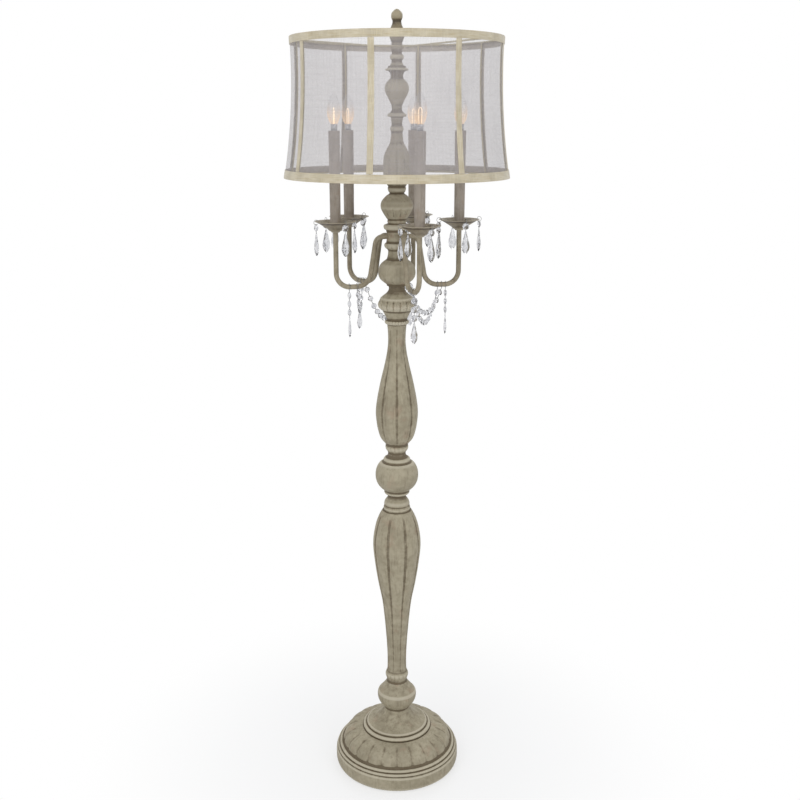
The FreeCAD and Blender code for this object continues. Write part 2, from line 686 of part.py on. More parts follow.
turn_start = math.radians(size("rib_azimuth") - 90)


def shade_shell(low_z, high_z, steps, outer, inner):
    """A thin flat-sided wall that follows the shade's curve, between two offsets from the fabric's face."""
    walls = []
    for offset, over in ((outer, 0.0), (inner, 1.0)):
        stations = []
        for number in range(steps + 1):
            height = low_z + (high_z - low_z) * number / steps
            stations.append((shade_radius(height) + offset, height))
        stations[0] = (stations[0][0], low_z - over)
        stations[-1] = (stations[-1][0], high_z + over)
        walls.append(frustums(stations, shade_sides, turn_start))
    return walls[0].cut(walls[1])


keep("shade_fabric", shape_of("fabric_wall", shade_shell(bottom_z, top_z, 4, 0.0, -cloth)))
top_band = shade_shell(top_z - size("top_trim_width"), top_z, 1, trim + gap, gap)
bottom_band = shade_shell(bottom_z, bottom_z + size("bottom_trim_width"), 1, trim + gap, gap)
tape_solids = []
for rib in range(int(size("rib_count"))):
    low_tape = bottom_z + size("bottom_trim_width") + gap
    high_tape = top_z - size("top_trim_width") - gap
    sections = []
    for number in range(5):
        height = low_tape + (high_tape - low_tape) * number / 4
        inside = shade_radius(height) + gap
        half = size("tape_width") / 2
        sections.append([Vector(inside, -half, height), Vector(inside + trim, -half, height),
                         Vector(inside + trim, half, height), Vector(inside, half, height)])
    strip = ruled(sections)
    strip.rotate(Vector(0, 0, 0), Vector(0, 0, 1), size("rib_azimuth") - 90 + 360.0 / size("rib_count") * rib)
    tape_solids.append(strip)
keep("shade_trims", shape_of("ribbon_trim", Part.makeCompound([top_band, bottom_band] + tape_solids)))


def wire_along(points, sides=4):
    return tube(points, wire_radius, sides)


frame_gap = cloth + gap + wire_radius
corner_share = math.cos(math.pi / shade_sides)


def frame_radius(height):
    """The middle of the frame's wire, just inside the cloth."""
    return (shade_radius(height) - frame_gap) * corner_share


frame_parts = []
for height in (bottom_z + wire_radius, top_z - wire_radius):
    radius = frame_radius(height)
    frame_parts.append(frustums([(radius + wire_radius, height - wire_radius),
                                 (radius + wire_radius, height + wire_radius)], shade_sides, turn_start).cut(
        frustums([(radius - wire_radius, height - wire_radius - 1),
                  (radius - wire_radius, height + wire_radius + 1)], shade_sides, turn_start)))
rib_foot = bottom_z + 2 * wire_radius
rib_top = top_z - 2 * wire_radius
for rib in range(int(size("rib_count"))):
    sections = []
    for number in range(5):
        height = rib_foot + (rib_top - rib_foot) * number / 4
        radius = frame_radius(height)
        sections.append([Vector(radius - wire_radius, -wire_radius, height),
                         Vector(radius + wire_radius, -wire_radius, height),
                         Vector(radius + wire_radius, wire_radius, height),
                         Vector(radius - wire_radius, wire_radius, height)])
    rod = ruled(sections)
    rod.rotate(Vector(0, 0, 0), Vector(0, 0, 1), size("rib_azimuth") - 90 + 360.0 / size("rib_count") * rib)
    frame_parts.append(rod)
spindle_z = height_of(spindle_top)
spider_z = spindle_z + size("spider_thick") / 2
spider_parts = []
for side in (-90, 90):
    hub_end = Vector(size("spider_radius") - 2, 0, spider_z)
    knee = Vector(size("spider_radius") + 14, 0, spider_z)
    rim_z = top_z - wire_radius
    inner = frame_radius(rim_z) - wire_radius - wire_radius * math.tan(math.pi / shade_sides)
    rod = wire_along([hub_end, knee, Vector(inner - 4, 0, rim_z), Vector(inner, 0, rim_z)])
    rod.rotate(Vector(0, 0, 0), Vector(0, 0, 1), size("rib_azimuth") - 90 + side)
    spider_parts.append(rod)
washer_disc = frustums([(size("spider_radius"), spindle_z), (size("spider_radius"),
                       spindle_z + size("spider_thick"))], 16)
spider = washer_disc.multiFuse(spider_parts).cut(
    frustums([(size("stud_radius") + gap, spindle_z - 5), (size("stud_radius") + gap, spindle_z + 15)], 12))
keep("shade_frame", shape_of("frame_wires", Part.makeCompound(frame_parts + spider.Solids)))

# --- the finial that clamps the shade ---
finial_bore = "(sizes.stud_radius + 0.1) / cos(15)"
finial_body = shape_of("finial_body", ruled([
    round_section(size("finial_%s_radius" % station), size("finial_%s_height" % station), 12)
    for station, _, _ in FINIAL]))
finial = cut("finial_bored", finial_body, prism("finial_hole", "12", finial_bore,
                                                "sizes.stud_length - sizes.spider_thick + 3", "-2"))
finial.setExpression("Placement.Base.z", spindle_top + " + sizes.spider_thick + sizes.finial_gap")
keep("finial", finial)

doc.recompute()
for thing in doc.Objects:
    if "Invalid" in thing.State or "Error" in thing.State:
        raise RuntimeError("failed: %s %s" % (thing.Label, thing.State))
for label, thing in nodes.items():
    if thing.Shape.isNull() or not thing.Shape.isValid():
        raise RuntimeError("bad shape: " + label)

os.makedirs("parts", exist_ok=True)
for label, thing in nodes.items():
    thing.Shape.exportStep("parts/%s.step" % label)
print(len(nodes), "sub-parts written")
print("seats:", {piece: round(height_of(place), 1) for piece, place in seats.items()})
print("top:", spindle_z + size("spider_thick") + size("finial_gap") + size("finial_tip_height"))
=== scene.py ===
import math
import bpy
from mathutils import Matrix, Vector
from mathutils.kdtree import KDTree


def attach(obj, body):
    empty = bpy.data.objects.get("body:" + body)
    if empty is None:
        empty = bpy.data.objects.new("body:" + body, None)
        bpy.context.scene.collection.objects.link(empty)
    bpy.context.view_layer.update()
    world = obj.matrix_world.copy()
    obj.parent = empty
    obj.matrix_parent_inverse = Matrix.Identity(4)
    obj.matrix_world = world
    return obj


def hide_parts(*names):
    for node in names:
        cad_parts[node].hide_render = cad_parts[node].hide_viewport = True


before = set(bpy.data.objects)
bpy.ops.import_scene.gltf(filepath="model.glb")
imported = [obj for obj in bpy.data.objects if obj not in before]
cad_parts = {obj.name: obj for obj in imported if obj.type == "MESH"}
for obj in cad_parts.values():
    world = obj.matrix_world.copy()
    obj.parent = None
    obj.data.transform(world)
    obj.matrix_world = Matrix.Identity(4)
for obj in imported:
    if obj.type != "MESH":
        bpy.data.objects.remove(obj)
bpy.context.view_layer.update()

# ---- The view: a white studio floor, soft lamps and the photograph's camera ----
# The camera stands a little over two metres off, at head height, and looks down at the lamp.
# The floor shows white to the camera, and keeps a soft shadow near the foot.
scene = bpy.context.scene
scene.view_settings.view_transform = "Standard"
bpy.ops.object.select_all(action="DESELECT")
bpy.ops.object.camera_add(location=(0, -2.048, 1.398), rotation=(math.radians(90 - 15.22), 0, 0))
camera = bpy.context.object
camera.data.sensor_width = 36
camera.data.lens = 46.23
camera.data.shift_x = 0.0039
scene.camera = camera


class Tone:
    """One socket of a finish's nodes, which is added and multiplied like a number."""

    def __init__(self, tree, socket):
        self.tree, self.socket = tree, socket

    def node(self, kind, settings, sockets, output=0):
        made = self.tree.nodes.new(kind)
        for name, value in settings.items():
            setattr(made, name, value)
        for name, value in sockets.items():
            if isinstance(value, Tone):
                self.tree.links.new(value.socket, made.inputs[name])
            else:
                made.inputs[name].default_value = value
        return Tone(self.tree, made.outputs[output])

    def math(self, operation, first, second):
        return self.node("ShaderNodeMath", {"operation": operation}, {0: first, 1: second})

    def __add__(self, other):
        return self.math("ADD", self, other)

    def __sub__(self, other):
        return self.math("SUBTRACT", self, other)

    def __rsub__(self, other):
        return self.math("SUBTRACT", other, self)

    def __mul__(self, other):
        return self.math("MULTIPLY", self, other)

    __radd__ = __add__
    __rmul__ = __mul__

    def step(self, low, high):
        """A mask that rises smoothly from 0 at low to 1 at high."""
        return self.node("ShaderNodeMapRange", {"interpolation_type": "SMOOTHSTEP"},
                         {"Value": self, "From Min": low, "From Max": high})

    def paint(self, under, over):
        """Two colours, the second where this mask is 1."""
        return self.node("ShaderNodeMix", {"data_type": "RGBA"}, {0: self, 6: under, 7: over}, 2)

    def noise(self, scale, detail=3.0, roughness=0.6):
        return self.node("ShaderNodeTexNoise", {}, {"Vector": self, "Scale": scale, "Detail": detail,
                                                    "Roughness": roughness})

    def into(self, shader, socket):
        self.tree.links.new(self.socket, shader.inputs[socket])


def colour(red, green, blue):
    """A colour as it is seen on screen, 0 to 255, in the renderer's own numbers."""
    return tuple((part / 255 / 12.92) if part < 10.3 else ((part / 255 + 0.055) / 1.055) ** 2.4
                 for part in (red, green, blue)) + (1.0,)


def seen_rays(tree):
    """1 for rays that the eye, a gloss or a glass sends out."""
    path = tree.nodes.new("ShaderNodeLightPath")
    rays = [Tone(tree, path.outputs[name]) for name in
            ("Is Camera Ray", "Is Glossy Ray", "Is Transmission Ray")]
    return rays[0].math("MAXIMUM", rays[0], rays[0].math("MAXIMUM", rays[1], rays[2]))


world = bpy.data.worlds.new("studio")
world.use_nodes = True
scene.world = world
backing = world.node_tree.nodes["Background"]
seen_rays(world.node_tree).paint((0.62, 0.63, 0.65, 1), (1, 1, 1, 1)).into(backing, "Color")

bpy.ops.mesh.primitive_plane_add(size=12)
floor = bpy.context.object
floor.name = "studio_floor"
ground = bpy.data.materials.new("studio_white")
ground.use_nodes = True
tree = ground.node_tree
matt = tree.nodes["Principled BSDF"]
matt.inputs["Base Color"].default_value = (0.86, 0.86, 0.86, 1)
matt.inputs["Roughness"].default_value = 0.9
bright = tree.nodes.new("ShaderNodeEmission")
blend = tree.nodes.new("ShaderNodeMixShader")
place = Tone(tree, tree.nodes.new("ShaderNodeTexCoord").outputs["Object"])
away = place.node("ShaderNodeVectorMath", {"operation": "LENGTH"}, {0: place}, "Value")
(seen_rays(tree) * (away.step(0.15, 0.75) * 0.35 + 0.65)).into(blend, "Fac")
tree.links.new(matt.outputs[0], blend.inputs[1])
tree.links.new(bright.outputs[0], blend.inputs[2])
tree.links.new(blend.outputs[0], tree.nodes["Material Output"].inputs["Surface"])
floor.data.materials.append(ground)

for spot, aim, width, power in (((-1.5, -2.3, 2.5), (0, 0, 0.9), 1.8, 26),
                                ((1.7, -2.0, 1.7), (0, 0, 0.8), 1.6, 13),
                                ((0.2, 1.9, 2.6), (0, 0, 1.1), 1.6, 14)):
    towards = (Vector(aim) - Vector(spot)).to_track_quat("-Z", "Y").to_euler()
    bpy.ops.object.light_add(type="AREA", location=spot, rotation=towards)
    lamp = bpy.context.object
    lamp.data.size = width
    lamp.data.energy = power

# ---- The base casting, a hollow iron foot with a gadrooned dome ----
# It is turned with a bead and two fillets round its shoulder, and 22 gadroons are cast in the dome.
# Its paint is putty over iron, with brown glaze and painted shade in the hollows, and pale wear and painted
# highlights on the edges.


def curve_through(run, spacing):
    """Points on one smooth line through the points of a run."""
    if len(run) == 2:
        slopes = [(run[1] - run[0]).normalized()] * 2
    else:
        slopes = [None] * len(run)
        for number in range(1, len(run) - 1):
            back, ahead = run[number] - run[number - 1], run[number + 1] - run[number]
            slopes[number] = (back / back.length * ahead.length + ahead / ahead.length * back.length) / (
                back.length + ahead.length)
        slopes[0] = (run[1] - run[0]).normalized() * 2 - slopes[1]
        slopes[-1] = (run[-1] - run[-2]).normalized() * 2 - slopes[-2]
    points = [run[0]]
    for number in range(len(run) - 1):
        start, end = run[number], run[number + 1]
        span = (end - start).length
        count = max(2, round(span / spacing))
        for share in (step / count for step in range(1, count + 1)):
            points.append(start * (1 - share) ** 2 * (1 + 2 * share) + end * share ** 2 * (3 - 2 * share)
                          + (slopes[number] * (1 - share) - slopes[number + 1] * share)
                          * (share * (1 - share) * span))
    return points


def flowing(stations, spacing=0.0024):
    """A smooth outline through (radius, height) in mm, with a corner where a station has a third value."""
    line, run = [], []
    for station in stations:
        run.append(Vector(station[:2]) / 1000)
        if len(station) == 3 and len(run) > 1:
            line += curve_through(run, spacing)[(1 if line else 0):]
            run = [run[-1]]
    return line


def spun(name, line, steps, closed=True):
    """An outline drawn by extruding one point, then spun round the lamp's axis."""
    bpy.ops.object.select_all(action="DESELECT")
    bpy.ops.mesh.primitive_plane_add(size=0.01)
    piece = bpy.context.object
    piece.name = name
    bpy.ops.object.mode_set(mode="EDIT")
    bpy.ops.mesh.select_mode(type="VERT")
    bpy.ops.mesh.select_all(action="SELECT")
    bpy.ops.mesh.merge(type="CENTER")
    bpy.ops.transform.translate(value=(line[0].x, 0, line[0].y))
    for here, there in zip(line, line[1:] + (line[:1] if closed else [])):
        bpy.ops.mesh.extrude_region_move(
            TRANSFORM_OT_translate={"value": (there.x - here.x, 0, there.y - here.y)})
    bpy.ops.mesh.select_all(action="SELECT")
    bpy.ops.mesh.spin(steps=steps, angle=2 * math.pi, center=(0, 0, 0), axis=(0, 0, 1))
    bpy.ops.mesh.select_all(action="SELECT")
    bpy.ops.mesh.remove_doubles(threshold=0.00003)
    bpy.ops.mesh.normals_make_consistent(inside=False)
    bpy.ops.object.mode_set(mode="OBJECT")
    bpy.ops.object.shade_smooth_by_angle(angle=math.radians(38))
    return piece


def smooth(share):
    share = min(1.0, max(0.0, share))
    return share * share * (3 - 2 * share)


def gadroon(side):
    """How deep a rounded lobe falls off, from 0 on its crest to 1 in the groove beside it."""
    return 1 - max(0.0, 1 - side ** 2.3) ** (1 / 2.3)


def age(piece, line, bands=(), seams=(0, -1)):
    """Cast the lobes of each band into a turned piece, and mark its hollows and seams for glaze and painted
    shade, and its edges for wear and painted highlights.

    A band is (lowest mm, highest mm, fade mm, lobes, depth as a share of the radius, turn, form).
    """
    count = len(line)
    normals, hollows = [], []
    for number, point in enumerate(line):
        before, after = line[max(0, number - 1)], line[min(count - 1, number + 1)]
        along = (after - before).normalized()
        normals.append(Vector((along.y, -along.x)))
        low = high = number
        while low > 0 and (line[low] - point).length < 0.004:
            low -= 1
        while high < count - 1 and (line[high] - point).length < 0.004:
            high += 1
        # Concave places mark positive, for glaze and painted shade; convex edges mark negative, for wear and
        # painted highlights.
        sunk = ((line[low] + line[high]) / 2 - point).dot(normals[-1]) / 0.0011
        # The seams, where a piece meets the next, are marked as hollows, for painted shade there.
        for seam in seams:
            sunk += 1.3 * (1 - smooth((line[seam] - point).length / 0.0028))
        hollows.append(sunk)
    tree = KDTree(count)
    for number, point in enumerate(line):
        tree.insert((point.x, 0, point.y), number)
    tree.balance()
    mark = piece.data.attributes.new("hollow", "FLOAT", "POINT")
    for vertex in piece.data.vertices:
        radius = math.hypot(vertex.co.x, vertex.co.y)
        _, number, off = tree.find((radius, 0, vertex.co.z))
        if off > 0.0002 or radius < 0.0001:
            mark.data[vertex.index].value = 0.0
            continue
        sunk = hollows[number]
        height = vertex.co.z * 1000
        angle = math.atan2(vertex.co.y, vertex.co.x) / (2 * math.pi)
        shift = Vector((0, 0))
        for lowest, highest, fade, lobes, depth, turn, form in bands:
            if lowest < height < highest:
                part = smooth((height - lowest) / fade) * smooth((highest - height) / fade)
                fall = form(abs(2 * ((angle * lobes + turn) % 1.0) - 1)) * part
                shift -= normals[number] * (fall * depth * radius)
                # Each groove adds to the mark, for painted shade in it, more between gadroons.
                sunk += fall * min(0.9, depth * radius / 0.0016) * (1.5 if form is gadroon else 1)
        if shift.length > 0:
            vertex.co.x *= 1 + shift.x / radius
            vertex.co.y *= 1 + shift.x / radius
            vertex.co.z += shift.y
        mark.data[vertex.index].value = max(-1.5, min(1.8, sunk))


def antique(name, body, dusk, rust, glaze_and_shade, wear_and_highlight, rough=0.62):
    """Rubbed paint: two mottled body colours, rust-brown clouds, glaze streaks, glaze and painted shade in
    the hollows, pale wear and painted highlights on the edges.
    """
    made = bpy.data.materials.new(name)
    made.use_nodes = True
    surface = made.node_tree.nodes["Principled BSDF"]
    place = Tone(made.node_tree, made.node_tree.nodes.new("ShaderNodeTexCoord").outputs["Object"])
    cloud = place.noise(19, 3)
    mottle = place.noise(85, 4, 0.65)
    grain = place.noise(520, 3, 0.7)
    drawn = place.node("ShaderNodeMapping", {}, {"Vector": place, "Scale": (1, 1, 0.09)})
    streak = drawn.noise(230, 3, 0.6)
    hollow = place.node("ShaderNodeAttribute", {"attribute_name": "hollow"}, {}, "Fac")
    paint = (cloud * 0.5 + mottle * 0.5).step(0.36, 0.64).paint(body, dusk)
    paint = (place.noise(33, 2).step(0.56, 0.72) * 0.42).paint(paint, rust)
    paint = (streak.step(0.5, 0.72) * 0.32).paint(paint, glaze_and_shade)
    paint = (grain.step(0.6, 0.74) * 0.38).paint(paint, glaze_and_shade)
    # Pale edges where the hollow mark is low: partly wear, partly a painted highlight on the convex edges.
    paint = ((mottle * 0.8 - hollow - 0.4).step(0.3, 0.95) * 0.62).paint(paint, wear_and_highlight)
    # Dark glaze where the hollow mark is high: partly glaze, partly painted shade in grooves, hollows and
    # seams.
    paint = ((hollow + mottle * 1.1 - 0.55).step(0.1, 0.95) * 0.86).paint(paint, glaze_and_shade)
    paint.into(surface, "Base Color")
    (mottle * 0.24 + (rough - 0.12)).into(surface, "Roughness")
    surface.inputs["Specular IOR Level"].default_value = 0.35
    relief = place.node("ShaderNodeBump", {}, {"Strength": 0.5, "Distance": 0.0007, "Height":
                        mottle * 0.5 + grain * 0.25 + streak * 0.25}, "Normal")
    relief.into(surface, "Normal")
    return made


putty = antique("antique_putty_paint", colour(171, 162, 139), colour(148, 139, 117), colour(160, 138, 117),
                colour(92, 79, 58), colour(199, 191, 170))


def dress(piece, finish, slot, body, *nodes):
    """Give a finished piece its finish, its body and the CAD parts that it stands for."""
    piece.data.materials.clear()
    piece.data.materials.append(finish)
    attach(piece, body)
    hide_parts(*nodes)
    return piece


foot_line = flowing([(129, 2, 1), (133.6, 4.2), (135.6, 9), (136.3, 20), (136, 30), (135.2, 34.4),
                     (133.4, 36, 1),
                     (131.6, 36.2, 1), (132.8, 37.2), (133.3, 39.2), (132.4, 41.6), (129.6, 42.6, 1),
                     (127.4, 42.9, 1), (128.2, 44.4), (127.6, 46.6), (125, 48), (121.2, 48.2, 1),
                     (120.4, 49.6), (118.9, 56), (115, 65), (106, 74), (95, 79.8), (84, 83), (75.5, 84, 1),
                     (73.6, 83.6, 1), (75, 85.6), (74.6, 88.6), (71.6, 91.2), (68.4, 91.6, 1),
                     (66.4, 91.4, 1),
                     (67.2, 93.4), (66.2, 95.8), (62.6, 97.7), (57.4, 99.9), (48.6, 104.4), (40, 110.4),
                     (33.6, 117.4),
                     (30, 123.6), (28, 129), (27, 132, 1)])
hidden = [Vector(point) / 1000 for point in ((5.5, 132), (5.5, 48.4), (116, 48), (116, 2))]
base = spun("base_casting_carved", foot_line + hidden, 330)
# The dome's gadroon grooves, its hollows and the seam under the knop are marked for painted shade, its edges
# for painted highlights.
age(base, foot_line, [(49, 84.4, 5, 22, 0.023, 0.5, gadroon)], seams=(-1,))
dress(base, putty, "antique_putty", "stand", "base_casting")

# ---- Under the base: felt pad, iron ballast, washer and nut, and the cord's bushing ----
# These parts keep the shapes they have in the frame. The felt is glued on, the ballast hangs on the pipe
# under its washer and nut, and the black bushing lines the hole at the back.


def plain_finish(name, first, second, scale, rough, metal=0.0, height=0.0004):
    """A small part's finish: two close colours in a fine mottle, with a slight relief."""
    made = bpy.data.materials.new(name)
    made.use_nodes = True
    surface = made.node_tree.nodes["Principled BSDF"]
    place = Tone(made.node_tree, made.node_tree.nodes.new("ShaderNodeTexCoord").outputs["Object"])
    fine = place.noise(scale, 4, 0.65)
    fine.step(0.3, 0.7).paint(first, second).into(surface, "Base Color")
    (fine * 0.3 + (rough - 0.15)).into(surface, "Roughness")
    surface.inputs["Metallic"].default_value = metal
    place.node("ShaderNodeBump", {}, {"Strength": 0.4, "Distance": height, "Height": fine},
               "Normal").into(surface, "Normal")
    return made


for node, finish in (
        ("base_pad", plain_finish("black_felt", colour(30, 29, 28), colour(52, 50, 48), 900, 0.95)),
        ("base_weight", plain_finish("cast_iron", colour(62, 60, 58), colour(88, 84, 80), 260, 0.7, 0.6)),
        ("base_fixings", plain_finish("zinc_steel", colour(170, 170, 166), colour(138, 138, 134), 300,
                                      0.35, 1.0)),
        ("cord_bushing", plain_finish("black_nylon", colour(26, 26, 27), colour(38, 38, 40), 500, 0.5)),
        ("lamp_pipe", plain_finish("pipe_steel", colour(150, 149, 145), colour(120, 119, 116), 200, 0.4,
                                   1.0)),
        ("sockets", plain_finish("black_phenolic", colour(36, 33, 31), colour(52, 48, 44), 400, 0.45))):
    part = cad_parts[node]
    part.data.materials.clear()
    part.data.materials.append(finish)

# ---- The lower column: foot knop, fluted baluster and collar ring ----
# Hollow castings threaded on the pipe. The baluster has eight broad panels with a thin fillet in the channel
# between two of them, and a leafy rim round its foot.


def panel(side):
    """A nearly flat panel, with a channel at its edge and a thin fillet standing in the channel."""
    channel = smooth((side - 0.80) / 0.11) * (1 - 0.55 * smooth((side - 0.92) / 0.08))
    return 0.30 * side ** 2.4 + 0.70 * channel


def leaf(side):
    """A rounded leaf with a fine vein down its middle."""
    return gadroon(side) * 0.9 + 0.22 * (1 - smooth(side / 0.16))


def casting(node, stations, steps, bands=()):
    """One piece of the column, bored for the pipe."""
    line = flowing(stations)
    low, high = stations[0][1], stations[-1][1]
    bore = [Vector((5.5, high)) / 1000, Vector((5.5, low)) / 1000]
    piece = spun(node + "_carved", line + bore, steps)
    # The grooves, hollows and both seams are marked for painted shade, the edges for painted highlights.
    age(piece, line, bands)
    return dress(piece, putty, "antique_putty", "stand", node)


casting("foot_knop", [(27, 132, 1), (28.6, 135), (33.6, 140), (39.4, 148.6), (42.2, 157), (42.6, 164),
                      (41.4, 170.4), (39.4, 173.4, 1), (35.8, 177.4), (31, 183), (26, 189.6),
                      (22.4, 196, 1)], 96)
casting("lower_baluster",
        [(22.6, 196, 1), (22, 199.4), (23.2, 204), (24.9, 210), (24.6, 215.4), (22.2, 219.6, 1),
         (21.2, 224),
         (20.7, 236), (20.6, 254), (21.8, 284), (24, 316), (27.4, 354), (31.4, 389), (40.4, 436),
         (47.4, 483),
         (50.8, 520), (50.2, 537), (48, 552), (42.6, 575), (35.4, 592), (30, 601, 1)], 288,
        [(220, 597, 12, 8, 0.046, 0.5, panel), (202, 219.4, 4, 16, 0.05, 0.5, leaf)])
casting("collar_ring", [(27.6, 601, 1), (28.3, 604.6), (27.4, 609.4), (26.4, 611, 1), (27, 614.4),
                        (26, 619.6),
                        (22, 626), (19.6, 629.4), (19, 632, 1)], 96)

# ---- The upper column: ball, fluted baluster, leaf capital and hub ball ----
# The second baluster is the first one turned half a panel, with its belly low. The capital has a ring of
# pearls, a plain cup and a skirt of sixteen drooping leaves.
casting("middle_ball",
        [(19, 632, 1), (19.6, 635), (24.6, 637.4), (26.7, 640.4), (26.4, 643.4, 1), (27.8, 646.2),
         (32, 650),
         (38, 656.5), (43, 666), (44.9, 679), (43.6, 690.4), (39.6, 700), (35.2, 705.6), (32.8, 707.2, 1),
         (30, 707.4, 1), (28.2, 709.8), (28, 713.6), (26, 716.8, 1), (22, 718.6), (19.2, 723),
         (18.4, 728, 1)], 96)
casting("upper_baluster",
        [(18.4, 728, 1), (19.4, 731), (22.6, 735), (23.9, 740.6), (23, 745.8, 1), (24.6, 749),
         (28.5, 753.6),
         (32.5, 758.6), (39, 776), (42.8, 798), (44.1, 814), (43.4, 828), (41.6, 841), (33.4, 883),
         (24.4, 921),
         (19.6, 947), (18, 964), (18.4, 984), (19.8, 1001, 1)], 288,
        [(746, 998, 12, 8, 0.046, 0.0, panel), (731, 746, 4, 16, 0.05, 0.5, leaf)])
casting("leaf_capital",
        [(20, 1001, 1), (22.8, 1001.7), (24.8, 1005), (22.8, 1008.4), (20.5, 1009.3, 1), (21.4, 1012.6),
         (24.2, 1019), (27.4, 1025.4), (29.6, 1029.4, 1), (35.6, 1033.4), (38.2, 1038.6), (37.4, 1044.6),
         (34.8, 1049.4),
         (33.6, 1052.6, 1), (33, 1054.2), (30, 1056.6), (28.4, 1058.2, 1), (24, 1061.4), (20, 1065),
         (16.8, 1070),
         (16, 1073.4), (17.5, 1079, 1)], 288,
        [(1029.6, 1053, 4, 16, 0.1, 0.5, leaf), (1001.4, 1009.4, 1.2, 24, 0.075, 0.5, gadroon)])
casting("hub_ball",
        [(20, 1079, 1), (20.6, 1081.4), (25, 1085), (33.5, 1092.4), (36.8, 1099.6), (37.4, 1106),
         (36.2, 1114),
         (33, 1121), (27.5, 1126.6), (23, 1130), (20.6, 1131.6, 1), (19.2, 1135), (18, 1140),
         (17.5, 1150, 1)], 168,
        [(1084, 1106, 6, 12, 0.045, 0.5, leaf)])

# ---- The hub that carries the arms, and the spindle inside the shade ----
# The five arm roots go into the hub. Above it come a leafy knop, a fluted bell,
# a ball knob under a thin disc, and the spindle that the shade's ring rests on.
casting("arm_hub",
        [(18, 1150, 1), (20, 1152), (23.6, 1155), (25, 1159), (24, 1162.8), (21.4, 1164.2, 1), (20.8, 1167),
         (20.8, 1186.4), (21.6, 1189.6, 1), (25.2, 1191.8), (26.4, 1195.4), (25.6, 1199), (23, 1200.4, 1),
         (19.6, 1201.4),
         (18, 1203, 1)], 168,
        [(1150, 1164, 3, 14, 0.05, 0.5, gadroon), (1190, 1201, 3, 14, 0.05, 0.5, gadroon)])
casting("upper_knop",
        [(17.7, 1203, 1), (18.9, 1206), (18.4, 1209.8), (20.4, 1212.2, 1), (23.6, 1217), (29.3, 1226.5),
         (31.6, 1232),
         (32, 1237), (31, 1243), (27.5, 1249), (22.6, 1254.2), (19, 1257.4, 1), (15.4, 1259.6),
         (13.6, 1262, 1)], 168,
        [(1211, 1234, 6, 12, 0.055, 0.5, leaf)])
casting("bell_column",
        [(15, 1262, 1), (16.8, 1265), (18, 1270.4), (16.9, 1273.4, 1), (19.8, 1278), (23.5, 1284.6),
         (26.4, 1297),
         (26.8, 1306), (26.4, 1320), (25.2, 1331), (21, 1342), (17.4, 1349.4), (13.6, 1356), (12.2, 1362),
         (11.2, 1370), (11, 1377, 1), (12.4, 1379.6), (12.9, 1383), (12, 1386), (10.6, 1388, 1),
         (10.2, 1391.4), (10.6, 1397),
         (12.6, 1405, 1)], 160,
        [(1274, 1372, 10, 10, 0.05, 0.5, panel)])
casting("top_knob",
        [(16.6, 1405, 1), (18.2, 1406.4), (18.4, 1408.6), (15.6, 1411, 1), (11.6, 1414), (9.8, 1417.6),
         (9.8, 1422), (10.6, 1427, 1),
         (13.4, 1433), (17.2, 1440.6), (21.6, 1449), (23.1, 1457), (21.6, 1464.6), (16.2, 1472),
         (13, 1474.6, 1),
         (12, 1477.6), (12.4, 1483), (14.2, 1487), (18.6, 1489.6, 1), (22.2, 1490.6), (22, 1492.2),
         (18, 1494.4),
         (16.2, 1498, 1)], 96)
casting("top_spindle",
        [(13, 1498, 1), (12.4, 1500.4), (10.2, 1504.4), (10.1, 1508.6, 1), (12.6, 1511), (13.3, 1514),
         (12.4, 1517),
         (10, 1519.2, 1), (9.4, 1522.4), (10.4, 1527), (13, 1530), (13, 1532, 1)], 96)

# ---- The arms: five steel tubes, bent on a former and painted like the column ----
# Each leaves the hub level, drops steeply, turns out along the bottom of its bend and rises straight
# to its drip dish.
metal = antique("antique_metal_paint", colour(163, 153, 131), colour(138, 128, 107), colour(142, 121, 99),
                colour(84, 71, 52), colour(188, 180, 158), 0.56)
AZIMUTHS = {"a": -74, "b": -128, "c": 164, "d": 20,
            "e": 95}      # degrees round from the front, to the right


def outward(degrees):
    return Vector((math.sin(math.radians(degrees)), -math.cos(math.radians(degrees)), 0))


def bent_rod(name, corners, bends, radius, sides=6):
    """A round rod along straight runs, with a true bend at each inner corner."""
    marks = [(corners[0], None, None)]
    for before, corner, after, bend in zip(corners, corners[1:], corners[2:], bends):
        back, ahead = (before - corner).normalized(), (after - corner).normalized()
        half = back.angle(ahead) / 2
        reach = bend / math.tan(half)
        handle = 4 / 3 * math.tan((math.pi - 2 * half) / 4) * bend
        first, last = corner + back * reach, corner + ahead * reach
        marks += [(first, None, first - back * handle), (last, last - ahead * handle, None)]
    marks.append((corners[-1], None, None))
    drawn = bpy.data.curves.new(name, "CURVE")
    drawn.dimensions = "3D"
    drawn.bevel_depth = radius
    drawn.bevel_resolution = sides
    drawn.resolution_u = 14
    drawn.use_fill_caps = True
    spline = drawn.splines.new("BEZIER")
    spline.bezier_points.add(len(marks) - 1)
    for number, (point, left, right) in enumerate(marks):
        knot = spline.bezier_points[number]
        knot.handle_left_type = knot.handle_right_type = "FREE"
        knot.co = point
        near = marks[max(0, number - 1)][0], marks[min(len(marks) - 1, number + 1)][0]
        knot.handle_left = left if left is not None else point + (near[0] - point) / 3
        knot.handle_right = right if right is not None else point + (near[1] - point) / 3
    rod = bpy.data.objects.new(name, drawn)
    scene.collection.objects.link(rod)
    bpy.ops.object.select_all(action="DESELECT")
    rod.select_set(True)
    bpy.context.view_layer.objects.active = rod
    bpy.ops.object.convert(target="MESH")
    rod = bpy.context.object
    bpy.ops.object.shade_smooth_by_angle(angle=math.radians(50))
    return rod


